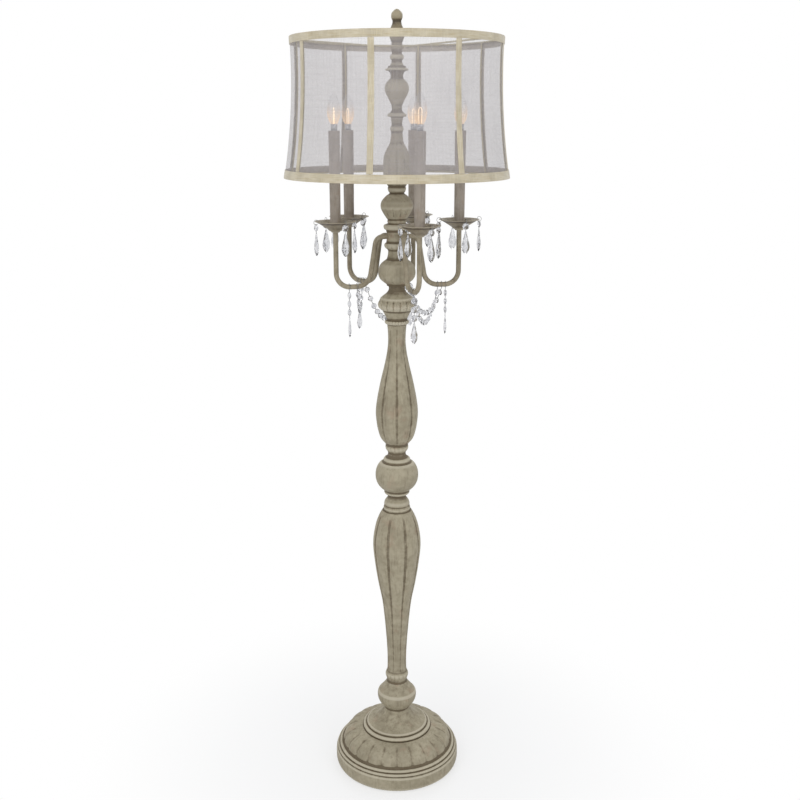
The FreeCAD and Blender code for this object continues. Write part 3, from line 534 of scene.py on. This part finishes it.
def joined(name, pieces):
    """Several meshes made one object, named afresh, with its place in its mesh."""
    bpy.ops.object.select_all(action="DESELECT")
    for piece in pieces:
        piece.select_set(True)
    bpy.context.view_layer.objects.active = pieces[0]
    if len(pieces) > 1:
        bpy.ops.object.join()
    whole = bpy.context.object
    whole.name = name
    bpy.ops.object.transform_apply(location=True, rotation=True, scale=True)
    return whole


rods = []
for arm, azimuth in AZIMUTHS.items():
    out = outward(azimuth)
    corners = [out * (reach / 1000) + Vector((0, 0, height / 1000)) for reach, height in
               ((14, 1177), (42, 1177), (58, 1080), (124, 1080), (124, 1188))]
    rods.append(bent_rod("arm_tube_" + arm, corners, (0.016, 0.028, 0.028), 0.005))
dress(joined("arms_bent", rods), metal, "antique_metal", "stand", "arms")

# ---- The drip dishes: five spun steel saucers with a thin lip ----
# Each stands on its arm's end, under the candle. Four small holes near the lip take the rings of the
# crystal drops. The inside is darker, partly with pooled brown glaze and partly with painted shade.
DROP_TURNS = {"a": (-60, 30, 120, 210), "b": (-45, 45, 135, 225), "c": (-45, 45, 135, 225),
              "d": (-60, 30, 120, 210), "e": (-75, 15, 105, 195)}
dark_metal = antique("glazed_and_shaded_dish_paint", colour(150, 139, 118), colour(121, 109, 89), colour(122, 101, 80),
                     colour(72, 59, 43), colour(182, 173, 151), 0.5)
dish_line = flowing([(0, 1188, 1), (7.8, 1188, 1), (8.8, 1189.6), (12.4, 1191.4, 1), (16, 1195),
                     (24.2, 1200.3),
                     (32.4, 1205.3), (38.4, 1208.3), (40.2, 1208.7), (40.4, 1209.2), (40, 1209.6),
                     (38.8, 1209.4, 1),
                     (36.4, 1208.4), (30, 1205.3), (24.2, 1202.0), (17, 1196.6), (12.4, 1192.6, 1),
                     (0, 1192.5, 1)],
                    0.003)
dishes = []
for arm, turns in DROP_TURNS.items():
    dish = spun("dish_" + arm, dish_line, 64, closed=False)
    # The dish's hollow and its seam are marked for glaze and painted shade.
    age(dish, dish_line, seams=(15,))
    bpy.ops.object.select_all(action="DESELECT")
    drills = []
    for turn in turns:
        spot = outward(turn) * 0.0376
        bpy.ops.mesh.primitive_cylinder_add(vertices=12, radius=0.00135, depth=0.012,
                                            location=(spot.x, spot.y, 1.2085))
        drills.append(bpy.context.object)
    drill = joined("drill", drills)
    bpy.context.view_layer.objects.active = dish
    bore = dish.modifiers.new("rim_holes", "BOOLEAN")
    bore.object = drill
    bore.operation = "DIFFERENCE"
    bpy.ops.object.modifier_apply(modifier=bore.name)
    bpy.data.objects.remove(drill)
    dish.location = outward(AZIMUTHS[arm]) * 0.124
    dishes.append(dish)
dress(joined("drip_dishes_spun", dishes), dark_metal, "antique_metal", "stand", "drip_dishes")

# ---- The candle sleeves: painted card tubes over the sockets ----
# Each stands in its dish and widens slightly to the top. The paint is brushed round and up the tube.
sleeve_paint = antique("candle_sleeve_paint", colour(175, 165, 153), colour(155, 145, 133),
                       colour(160, 143, 124),
                       colour(104, 92, 74), colour(196, 189, 171), 0.66)
sleeve_line = flowing([(9.2, 1192.6, 1), (10.2, 1192.6, 1), (10.2, 1194, 1), (10.5, 1290, 1),
                       (10.8, 1378.6, 1),
                       (10.5, 1379.4, 1), (9.9, 1379.4, 1), (9.7, 1378, 1), (9.2, 1193.4, 1)], 0.02)
sleeves = []
for azimuth in AZIMUTHS.values():
    sleeve = spun("sleeve", sleeve_line, 48)
    # Only the foot is marked, so the paint is darker where the sleeve stands in its dish: painted shade.
    age(sleeve, sleeve_line[:4], seams=(0,))
    sleeve.location = outward(azimuth) * 0.124
    sleeves.append(sleeve)
dress(joined("candle_sleeves_painted", sleeves), sleeve_paint, "candle_cream", "stand", "candle_sleeves")

# ---- The bulbs: clear torpedo lamps with a bright screw shell and a glowing hairpin ----
# Thin blown glass, drawn to a soft tip, over a rolled metal shell. The filament's warm light shows
# in the lower half of the glass.
glass = bpy.data.materials.new("blown_glass")
glass.use_nodes = True
clear = glass.node_tree.nodes["Principled BSDF"]
place = Tone(glass.node_tree, glass.node_tree.nodes.new("ShaderNodeTexCoord").outputs["Object"])
height = place.node("ShaderNodeSeparateXYZ", {}, {0: place}, "Z")
edge = place.node("ShaderNodeLayerWeight", {}, {"Blend": 0.5}, "Facing")
warm = height.step(1.437, 1.398)
warm.paint(colour(226, 226, 230), colour(255, 226, 190)).into(clear, "Base Color")
(edge * edge * 0.62 + warm * 0.22 + 0.08).into(clear, "Alpha")
warm.paint((0, 0, 0, 1), (1.0, 0.62, 0.30, 1)).into(clear, "Emission Color")
clear.inputs["Emission Strength"].default_value = 0.35
clear.inputs["Roughness"].default_value = 0.06

hot = bpy.data.materials.new("hot_filament")
hot.use_nodes = True
glow = hot.node_tree.nodes["Principled BSDF"]
place = Tone(hot.node_tree, hot.node_tree.nodes.new("ShaderNodeTexCoord").outputs["Object"])
place.noise(300).step(0.2, 0.8).paint((1.0, 0.60, 0.26, 1), (1.0, 0.78, 0.46, 1)).into(glow,
                                                                                       "Emission Color")
glow.inputs["Emission Strength"].default_value = 1.3

shell = plain_finish("bright_nickel", colour(205, 206, 208), colour(168, 170, 174), 700, 0.22, 1.0, 0.0002)
shell_line = flowing([(0, 1353.8, 1), (3, 1353.8, 1), (6.2, 1357.8, 1), (6.3, 1376, 1), (5.8, 1377.4),
                      (6.4, 1378.8),
                      (5.8, 1380.2), (6.4, 1381.6), (5.8, 1383), (6.4, 1384.4), (5.8, 1385.8),
                      (6.4, 1387.2, 1), (6.4, 1391, 1),
                      (5.6, 1391.7, 1), (0, 1391.7, 1)], 0.0009)
glass_line = flowing([(0, 1391.9, 1), (6.2, 1391.9, 1), (7.4, 1394), (10.4, 1400.4), (12.4, 1409.6),
                      (12.4, 1417),
                      (11.2, 1425.6), (8.6, 1435), (5.6, 1442.4), (2.8, 1447), (1.1, 1448.5),
                      (0, 1448.7, 1)], 0.002)
for arm, azimuth in AZIMUTHS.items():
    spot = outward(azimuth) * 0.124
    for name, line, finish in (("bulb_%s_glass", glass_line, glass), ("bulb_%s_shell", shell_line, shell)):
        part = spun(name % arm, line, 40, closed=False)
        part.location = spot
        dress(joined(name % arm, [part]), finish, "bulb_glass", "bulb_%s_body" % arm, "bulb_" + arm)
    leg = outward(azimuth + 90)
    hairpin = [spot + leg * (across / 1000) + Vector((0, 0, up / 1000))
               for across, up in ((-2.6, 1392), (-3.4, 1416), (0, 1424), (3.4, 1416), (2.6, 1392))]
    wire = bent_rod("bulb_%s_filament" % arm, hairpin, (0.002, 0.002, 0.002), 0.0006, 3)
    dress(joined("bulb_%s_filament" % arm, [wire]), hot, "bulb_glass", "bulb_%s_body" % arm, "bulb_" + arm)

# ---- The crystals: cut-glass drops on the dishes, pendants and garlands under the arms ----
# Every stone is pressed and polished lead glass, hung on nickel jump rings and pins. One bead, one
# teardrop and one ring are modelled, and each hanging piece is strung from copies of them.
crystal = bpy.data.materials.new("cut_crystal")
crystal.use_nodes = True
cut = crystal.node_tree.nodes["Principled BSDF"]
place = Tone(crystal.node_tree, crystal.node_tree.nodes.new("ShaderNodeTexCoord").outputs["Object"])
place.noise(120, 2).step(0.35, 0.65).paint(colour(228, 228, 230), colour(192, 193, 197)).into(cut,
                                                                                              "Base Color")
cut.inputs["Transmission Weight"].default_value = 1.0
cut.inputs["Roughness"].default_value = 0.02
cut.inputs["IOR"].default_value = 1.54
nickel = plain_finish("nickel_wire", colour(150, 150, 150), colour(118, 118, 118), 800, 0.3, 1.0, 0.0002)


def bead(width, thick):
    """An eight-sided button bead that faces +X: a girdle, crown facets and a raised table on both sides."""
    bpy.ops.object.select_all(action="DESELECT")
    bpy.ops.mesh.primitive_cylinder_add(vertices=8, radius=width / 2, depth=thick * 0.16,
                                        rotation=(0, math.pi / 2, 0))
    stone = bpy.context.object
    bpy.ops.object.transform_apply(location=True, rotation=True, scale=True)
    for side in (-1, 1):
        bpy.ops.object.mode_set(mode="EDIT")
        bpy.ops.mesh.select_mode(type="FACE")
        bpy.ops.mesh.select_all(action="DESELECT")
        bpy.ops.object.mode_set(mode="OBJECT")
        for face in stone.data.polygons:
            face.select = face.normal.x * side > 0.9
        bpy.ops.object.mode_set(mode="EDIT")
        for rise, shrink in ((0.2, 0.76), (0.16, 0.62)):
            bpy.ops.mesh.extrude_region_move(TRANSFORM_OT_translate={"value": (side * rise * thick, 0, 0)})
            bpy.ops.transform.resize(value=(1, shrink, shrink), center_override=(0, 0, 0))
            bpy.ops.transform.rotate(value=math.radians(22.5), orient_axis="X", center_override=(0, 0, 0))
        bpy.ops.mesh.poke(offset=0.06 * thick)
        bpy.ops.object.mode_set(mode="OBJECT")
    bpy.ops.object.mode_set(mode="EDIT")
    bpy.ops.mesh.select_all(action="SELECT")
    bpy.ops.mesh.quads_convert_to_tris()
    bpy.ops.mesh.normals_make_consistent(inside=False)
    bpy.ops.object.mode_set(mode="OBJECT")
    stone.data.materials.append(crystal)
    return stone


def teardrop(length, width):
    """A flat pendalogue that hangs from the origin, its rings of facets staggered by half a side."""
    bpy.ops.object.select_all(action="DESELECT")
    bpy.ops.mesh.primitive_circle_add(vertices=10, radius=width * 0.07, fill_type="NGON")
    stone = bpy.context.object
    bpy.ops.object.mode_set(mode="EDIT")
    bpy.ops.mesh.select_all(action="SELECT")
    now, deep = 0.07, 0.0
    for share, place in ((0.13, 0.05), (0.2, 0.18), (0.33, 0.36), (0.47, 0.56), (0.5, 0.68), (0.42, 0.82),
                         (0.22, 0.94), (0.05, 1.0)):
        bpy.ops.mesh.extrude_region_move(TRANSFORM_OT_translate={"value": (0, 0, -length * (place - deep))})
        bpy.ops.transform.resize(value=(share / now, share / now, 1),
                                 center_override=(0, 0, -length * place))
        bpy.ops.transform.rotate(value=math.radians(18), orient_axis="Z", center_override=(0, 0, 0))
        now, deep = share, place
    bpy.ops.mesh.select_all(action="SELECT")
    bpy.ops.transform.resize(value=(0.42, 1, 1), center_override=(0, 0, 0))
    bpy.ops.mesh.quads_convert_to_tris()
    bpy.ops.mesh.normals_make_consistent(inside=False)
    bpy.ops.object.mode_set(mode="OBJECT")
    stone.data.materials.append(crystal)
    return stone


def jump_ring(radius, across_arm):
    """A round wire ring; its hole faces across the hanging piece, or along the arm that it goes round."""
    bpy.ops.object.select_all(action="DESELECT")
    turn = (0, math.pi / 2, 0) if across_arm else (math.pi / 2, 0, 0)
    bpy.ops.mesh.primitive_torus_add(major_radius=radius - 0.00045, minor_radius=0.00045, major_segments=20,
                                     minor_segments=6, rotation=turn)
    ring = bpy.context.object
    bpy.ops.object.transform_apply(location=True, rotation=True, scale=True)
    bpy.ops.object.shade_smooth()
    ring.data.materials.append(nickel)
    return ring


def wire_pin():
    """One metre-long unit pin down the Z axis, shortened for each place."""
    bpy.ops.object.select_all(action="DESELECT")
    bpy.ops.mesh.primitive_cylinder_add(vertices=6, radius=0.0006, depth=1, location=(0, 0, -0.5))
    pin = bpy.context.object
    bpy.ops.object.transform_apply(location=True, rotation=True, scale=True)
    pin.data.materials.append(nickel)
    return pin


KIT = {"bead": bead(0.014, 0.0072), "small_bead": bead(0.012, 0.0066), "tear": teardrop(0.044, 0.017),
       "short_tear": teardrop(0.040, 0.0153), "ring": jump_ring(0.0052, False),
       "hook": jump_ring(0.0072, True),
       "pin": wire_pin()}
for part in KIT.values():
    part.hide_render = True


def strung(name, places, whole, body, node):
    copies = []
    for part, at in places:
        copy = bpy.data.objects.new(part, KIT[part].data.copy())
        copy.data.transform(whole @ at)
        scene.collection.objects.link(copy)
        copies.append(copy)
    piece = joined(name, copies)
    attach(piece, body)
    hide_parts(node)


def pin_between(top, foot):
    """The pin's place, from a top point to a foot point."""
    along = Vector(foot) - Vector(top)
    turn = along.to_track_quat("-Z", "Y").to_matrix().to_4x4()
    return Matrix.Translation(top) @ turn @ Matrix.Diagonal((1, 1, along.length, 1))


def down(depth):
    return Matrix.Translation((0, 0, -depth / 1000))


def facing(point, degrees):
    """A place with its own +X turned to an azimuth round the lamp."""
    return Matrix.Translation(point) @ Matrix.Rotation(math.radians(degrees - 90), 4, "Z")


for arm, turns in DROP_TURNS.items():
    for number, turn in enumerate(turns, 1):
        hole = outward(AZIMUTHS[arm]) * 0.124 + outward(turn) * 0.04165 + Vector((0, 0, 1.2089))
        strung("crystal_drop_%s%d" % (arm, number),
               [("ring", Matrix()), ("bead", down(9.9)),
                ("pin", pin_between((0, 0, -0.0166), (0, 0, -0.0204))),
                ("tear", down(19.9))],
               facing(hole, turn), "drop_%s%d_body" % (arm, number), "drop_%s%d" % (arm, number))
# The hooks' places on each arm, the hook's radius, the beads' pitch, and a bead's middle to its edge.
PENDANT_REACH, LEFT_REACH, RIGHT_REACH, ARM_LOW = 0.098, 0.090, 0.082, 1.080
HOOK_RING, BEAD_PITCH, BEAD_EDGE = 0.0072, 0.015, 0.0052
for arm, azimuth in AZIMUTHS.items():
    hook = outward(azimuth) * PENDANT_REACH + Vector((0, 0, ARM_LOW))
    strung("crystal_pendant_" + arm,
           [("hook", Matrix()), ("pin", pin_between((0, 0, -0.0068), (0, 0, -0.0106))),
            ("bead", down(17.2)),
            ("pin", pin_between((0, 0, -0.0238), (0, 0, -0.0276))), ("bead", down(34.2)),
            ("pin", pin_between((0, 0, -0.0408), (0, 0, -0.0446))), ("bead", down(51.2)),
            ("pin", pin_between((0, 0, -0.0578), (0, 0, -0.0616))), ("short_tear", down(61.2))],
           facing(hook, azimuth), "pendant_%s_body" % arm, "pendant_" + arm)
for left, right, sag in ("d", "e", 0.062), ("e", "c", 0.058), ("c", "b", 0.074), ("b", "a", 0.048):
    ends = [outward(AZIMUTHS[left]) * LEFT_REACH + Vector((0, 0, ARM_LOW)),
            outward(AZIMUTHS[right]) * RIGHT_REACH + Vector((0, 0, ARM_LOW))]
    places = [("hook", facing(end, AZIMUTHS[arm])) for end, arm in zip(ends, (left, right))]
    first, last = (end - Vector((0, 0, HOOK_RING)) for end in ends)
    span = last - first
    count = round(math.sqrt(span.length ** 2 + 16 / 3 * sag ** 2) / BEAD_PITCH)
    joints = [first + span * (step / count) - Vector((0, 0, 4 * sag * step / count * (1 - step / count)))
              for step in range(count + 1)]
    face = math.degrees(math.atan2(span.x, -span.y))
    held = first
    for here, there in zip(joints, joints[1:]):
        along = (there - here).normalized()
        middle = (here + there) / 2
        tilt = math.atan2(along.z, along.to_2d().length)
        places.append(("small_bead", Matrix.Translation(middle) @ Matrix.Rotation(math.radians(face), 4,
                                                                                  "Z")
                       @ Matrix.Rotation(tilt, 4, "X")))
        places.append(("pin", pin_between(held, middle - along * BEAD_EDGE)))
        held = middle + along * BEAD_EDGE
    places.append(("pin", pin_between(held, last)))
    label = "garland_%s%s" % (left, right)
    strung("crystal_" + label, places, Matrix(), label + "_body", label)
for part in KIT.values():
    bpy.data.objects.remove(part)

# ---- The shade's frame: two welded hoops, eight ribs and a two-armed spider ----
# Round steel wire with a dull bronze lacquer, its colours painted lighter than the bronze to stand in for
# light inside the shade. The spider's ring sits on the spindle, under the finial.
RIBS = [-12.8 + 45 * number for number in range(8)]


SHADE_LOW, SHADE_WAIST, SHADE_TOP = 1.2905, 1.420, 1.5495
CLOTH_RISE = 0.259


def drum(height):
    """The outside radius of the cloth at a height, both in metres."""
    low, waist, top = SHADE_LOW, SHADE_WAIST, SHADE_TOP
    return (0.2185 * (height - waist) * (height - top) / ((low - waist) * (low - top))
            + 0.2035 * (height - low) * (height - top) / ((waist - low) * (waist - top))
            + 0.202 * (height - low) * (height - waist) / ((top - low) * (top - waist)))


# These colours are lighter than the bronze: painted light for the inside of the shade.
lacquer = antique("bronze_lacquer", colour(190, 180, 150), colour(172, 162, 132), colour(160, 142, 112),
                  colour(132, 120, 94), colour(206, 197, 170), 0.45)
wires = []
for height in (1.2923, 1.5477):
    bpy.ops.object.select_all(action="DESELECT")
    bpy.ops.mesh.primitive_torus_add(major_radius=drum(height) - 0.0029, minor_radius=0.0017,
                                     major_segments=160,
                                     minor_segments=10, location=(0, 0, height))
    bpy.ops.object.shade_smooth()
    wires.append(bpy.context.object)
for azimuth in RIBS:
    heights = [1.2923 + 0.2554 * number / 8 for number in range(9)]
    wires.append(bent_rod("rib", [outward(azimuth) * (drum(height) - 0.0029) + Vector((0, 0, height))
                                  for height in heights], (0.3,) * 7, 0.0017, 3))
for side in (-90, 90):
    out = outward(RIBS[0] + side)
    wires.append(bent_rod("spider_arm", [out * 0.009 + Vector((0, 0, 1.5332)),
                                         out * 0.025 + Vector((0, 0, 1.5332)),
                                         out * (drum(1.5477) - 0.0029) + Vector((0, 0, 1.5477))],
                          (0.02,), 0.0017, 4))
ring_line = flowing([(3.5, 1532, 1), (10.6, 1532, 1), (11, 1532.4), (11, 1534.5), (10.6, 1534.9, 1),
                     (3.5, 1534.9, 1)],
                    0.002)
wires.append(spun("spider_ring", ring_line, 40))
dress(joined("shade_frame_welded", wires), lacquer, "frame_wire", "shade", "shade_frame")

# ---- The shade's cloth: one sheer drum of grey organza, stretched on the frame ----
# A fine open weave, nearly see-through, with an odd thicker thread. It is pulled a little flat
# between the ribs.
cloth_line = [Vector((drum(height), height))
              for height in (SHADE_LOW + CLOTH_RISE * number / 24 for number in range(25))]
organza = spun("shade_cloth", cloth_line, 320, closed=False)
weave = organza.data.uv_layers.new(name="weave")
for vertex in organza.data.vertices:
    turn = (math.degrees(math.atan2(vertex.co.x, -vertex.co.y)) - RIBS[0]) / 45
    slack = math.sin(math.pi * (turn % 1.0)) ** 2
    belly = math.sin(math.pi * (vertex.co.z - SHADE_LOW) / CLOTH_RISE)
    pull = 1 - 0.0034 * slack * belly
    vertex.co.x *= pull
    vertex.co.y *= pull
for face in organza.data.polygons:
    start = math.atan2(face.center.y, face.center.x)
    for corner in face.loop_indices:
        point = organza.data.vertices[organza.data.loops[corner].vertex_index].co
        angle = math.atan2(point.y, point.x)
        angle += 2 * math.pi * round((start - angle) / (2 * math.pi))
        weave.data[corner].uv = (angle * 0.206, point.z)
sheer = bpy.data.materials.new("sheer_organza")
sheer.use_nodes = True
threads = sheer.node_tree.nodes["Principled BSDF"]
across = Tone(sheer.node_tree, sheer.node_tree.nodes.new("ShaderNodeUVMap").outputs[0])
across.socket.node.uv_map = "weave"
crossed = []
for direction, stretch in (("X", (1, 0.02, 1)), ("Y", (0.02, 1, 1))):
    wave = across.node("ShaderNodeTexWave", {"wave_type": "BANDS", "bands_direction": direction},
                       {"Vector": across, "Scale": 210.0, "Distortion": 0.6, "Detail": 1.0})
    slub = across.node("ShaderNodeMapping", {}, {"Vector": across, "Scale": stretch}).noise(420, 2)
    crossed.append(wave * 0.10 + slub.step(0.5, 0.75) * 0.10)
cover = crossed[0] + crossed[1]
tired = across.noise(7, 3)
tired.step(0.3, 0.7).paint(colour(192, 187, 187), colour(184, 179, 180)).into(threads, "Base Color")
(cover + 0.27 + tired * 0.05).into(threads, "Alpha")
threads.inputs["Roughness"].default_value = 0.85
threads.inputs["Specular IOR Level"].default_value = 0.1
threads.inputs["Sheen Weight"].default_value = 0.15
dress(organza, sheer, "sheer_fabric", "shade", "shade_fabric")

# ---- The shade's trims: silk ribbon bound round both edges, and a tape down each rib ----
# Pale gold dupioni with slubs along its length. The ribbons are folded over the hoops and glued,
# and the tapes lie flat on the cloth.
silk = bpy.data.materials.new("gold_dupioni")
silk.use_nodes = True
satin = silk.node_tree.nodes["Principled BSDF"]
across = Tone(silk.node_tree, silk.node_tree.nodes.new("ShaderNodeUVMap").outputs[0])
across.socket.node.uv_map = "weave"
lengthwise = across.node("ShaderNodeMapping", {}, {"Vector": across, "Scale": (0.06, 1, 1)})
slubs = lengthwise.noise(620, 3, 0.6)
crossing = across.node("ShaderNodeMapping", {}, {"Vector": across, "Scale": (1, 0.05, 1)}).noise(900, 2,
                                                                                                 0.5)
cloudy = across.noise(26, 3)
gold = cloudy.step(0.35, 0.68).paint(colour(206, 196, 172), colour(186, 176, 152))
gold = (slubs.step(0.42, 0.68) * 0.55).paint(gold, colour(172, 154, 112))
gold = (crossing.step(0.5, 0.75) * 0.3).paint(gold, colour(230, 220, 186))
gold.into(satin, "Base Color")
(slubs * 0.3 + 0.36).into(satin, "Roughness")
satin.inputs["Sheen Weight"].default_value = 0.25
across.node("ShaderNodeBump", {}, {"Strength": 0.5, "Distance": 0.0004,
                                   "Height": slubs * 0.7 + crossing * 0.3},
            "Normal").into(satin, "Normal")


def ribbon_map(piece):
    """Lengthwise and crosswise places on a ribbon, in metres, for its threads to follow."""
    layer = piece.data.uv_layers.new(name="weave")
    for face in piece.data.polygons:
        start = math.atan2(face.center.y, face.center.x)
        for corner in face.loop_indices:
            point = piece.data.vertices[piece.data.loops[corner].vertex_index].co
            angle = math.atan2(point.y, point.x)
            angle += 2 * math.pi * round((start - angle) / (2 * math.pi))
            if piece.name.startswith("tape"):
                layer.data[corner].uv = (point.z, angle * 0.206)
            else:
                layer.data[corner].uv = (angle * 0.206, point.z)


ribbons = []
for name, low, high in (("bottom_ribbon", SHADE_LOW, 1.3065), ("top_ribbon", 1.5355, SHADE_TOP)):
    section = [(0.0004, low + 0.0006), (0.0009, low + 0.0001), (0.0013, low + 0.0012),
               (0.0013, high - 0.0008),
               (0.0008, high), (0.0004, high - 0.0008)]
    line = [Vector((drum(min(max(height, low), high)) + out, height)) for out, height in section]
    ribbon = spun(name, line, 240)
    ribbon_map(ribbon)
    ribbons.append(ribbon)
for number, azimuth in enumerate(RIBS):
    bpy.ops.object.select_all(action="DESELECT")
    bpy.ops.mesh.primitive_grid_add(x_subdivisions=6, y_subdivisions=40, size=1)
    tape = bpy.context.object
    tape.name = "tape_%d" % number
    out, side = outward(azimuth), outward(azimuth + 90)
    for vertex in tape.data.vertices:
        width = vertex.co.x * (0.0116 + 0.0003 * math.sin(vertex.co.y * 23 + number))
        height = 1.4211 + vertex.co.y * 0.2282
        crown = 0.00055 + 0.0003 * (1 - (2 * vertex.co.x) ** 4)
        vertex.co = out * (drum(height) + crown) + side * width + Vector((0, 0, height))
    bpy.ops.object.mode_set(mode="EDIT")
    bpy.ops.mesh.select_all(action="SELECT")
    bpy.ops.mesh.normals_make_consistent(inside=False)
    bpy.ops.object.mode_set(mode="OBJECT")
    if tape.data.polygons[0].normal.dot(out) < 0:
        tape.data.flip_normals()
    body = tape.modifiers.new("ribbon", "SOLIDIFY")
    body.thickness = 0.0006
    body.offset = 0
    bpy.ops.object.modifier_apply(modifier=body.name)
    bpy.ops.object.shade_smooth_by_angle(angle=math.radians(40))
    ribbon_map(tape)
    ribbons.append(tape)
trims = dress(joined("shade_ribbons", ribbons), silk, "gold_ribbon", "shade", "shade_trims")

# ---- The finial: a turned cap nut of antique bronze ----
# A cup, a narrow waist and a round button. It screws on the pipe's stud and clamps the shade's ring.
bronze = antique("antique_bronze", colour(146, 134, 108), colour(120, 109, 86), colour(118, 96, 70),
                 colour(66, 56, 40), colour(182, 172, 146), 0.42)
finial_line = flowing([(9.4, 1535, 1), (10.6, 1537, 1), (10.2, 1539), (11.4, 1543.4), (13.4, 1547.6),
                       (14, 1550.6), (14, 1555.4),
                       (13.6, 1559, 1), (13.4, 1562), (12, 1566.4), (9.8, 1571), (8.4, 1576.6),
                       (8.5, 1579.4, 1), (9.8, 1581.6),
                       (10.9, 1587), (10.2, 1591.8), (8, 1595), (5.2, 1597.6), (2.4, 1599.5),
                       (0, 1600, 1)], 0.0016)
inside = [Vector(point) / 1000 for point in ((0, 1556), (3.2, 1556), (3.2, 1535))]
finial = spun("finial_turned", finial_line + inside, 64)
# The gadroon grooves and the foot on the spider's ring are marked for painted shade.
age(finial, finial_line, [(1540, 1559, 4, 16, 0.035, 0.5, gadroon)], seams=(0,))
dress(finial, bronze, "finial_bronze", "finial_body", "finial")
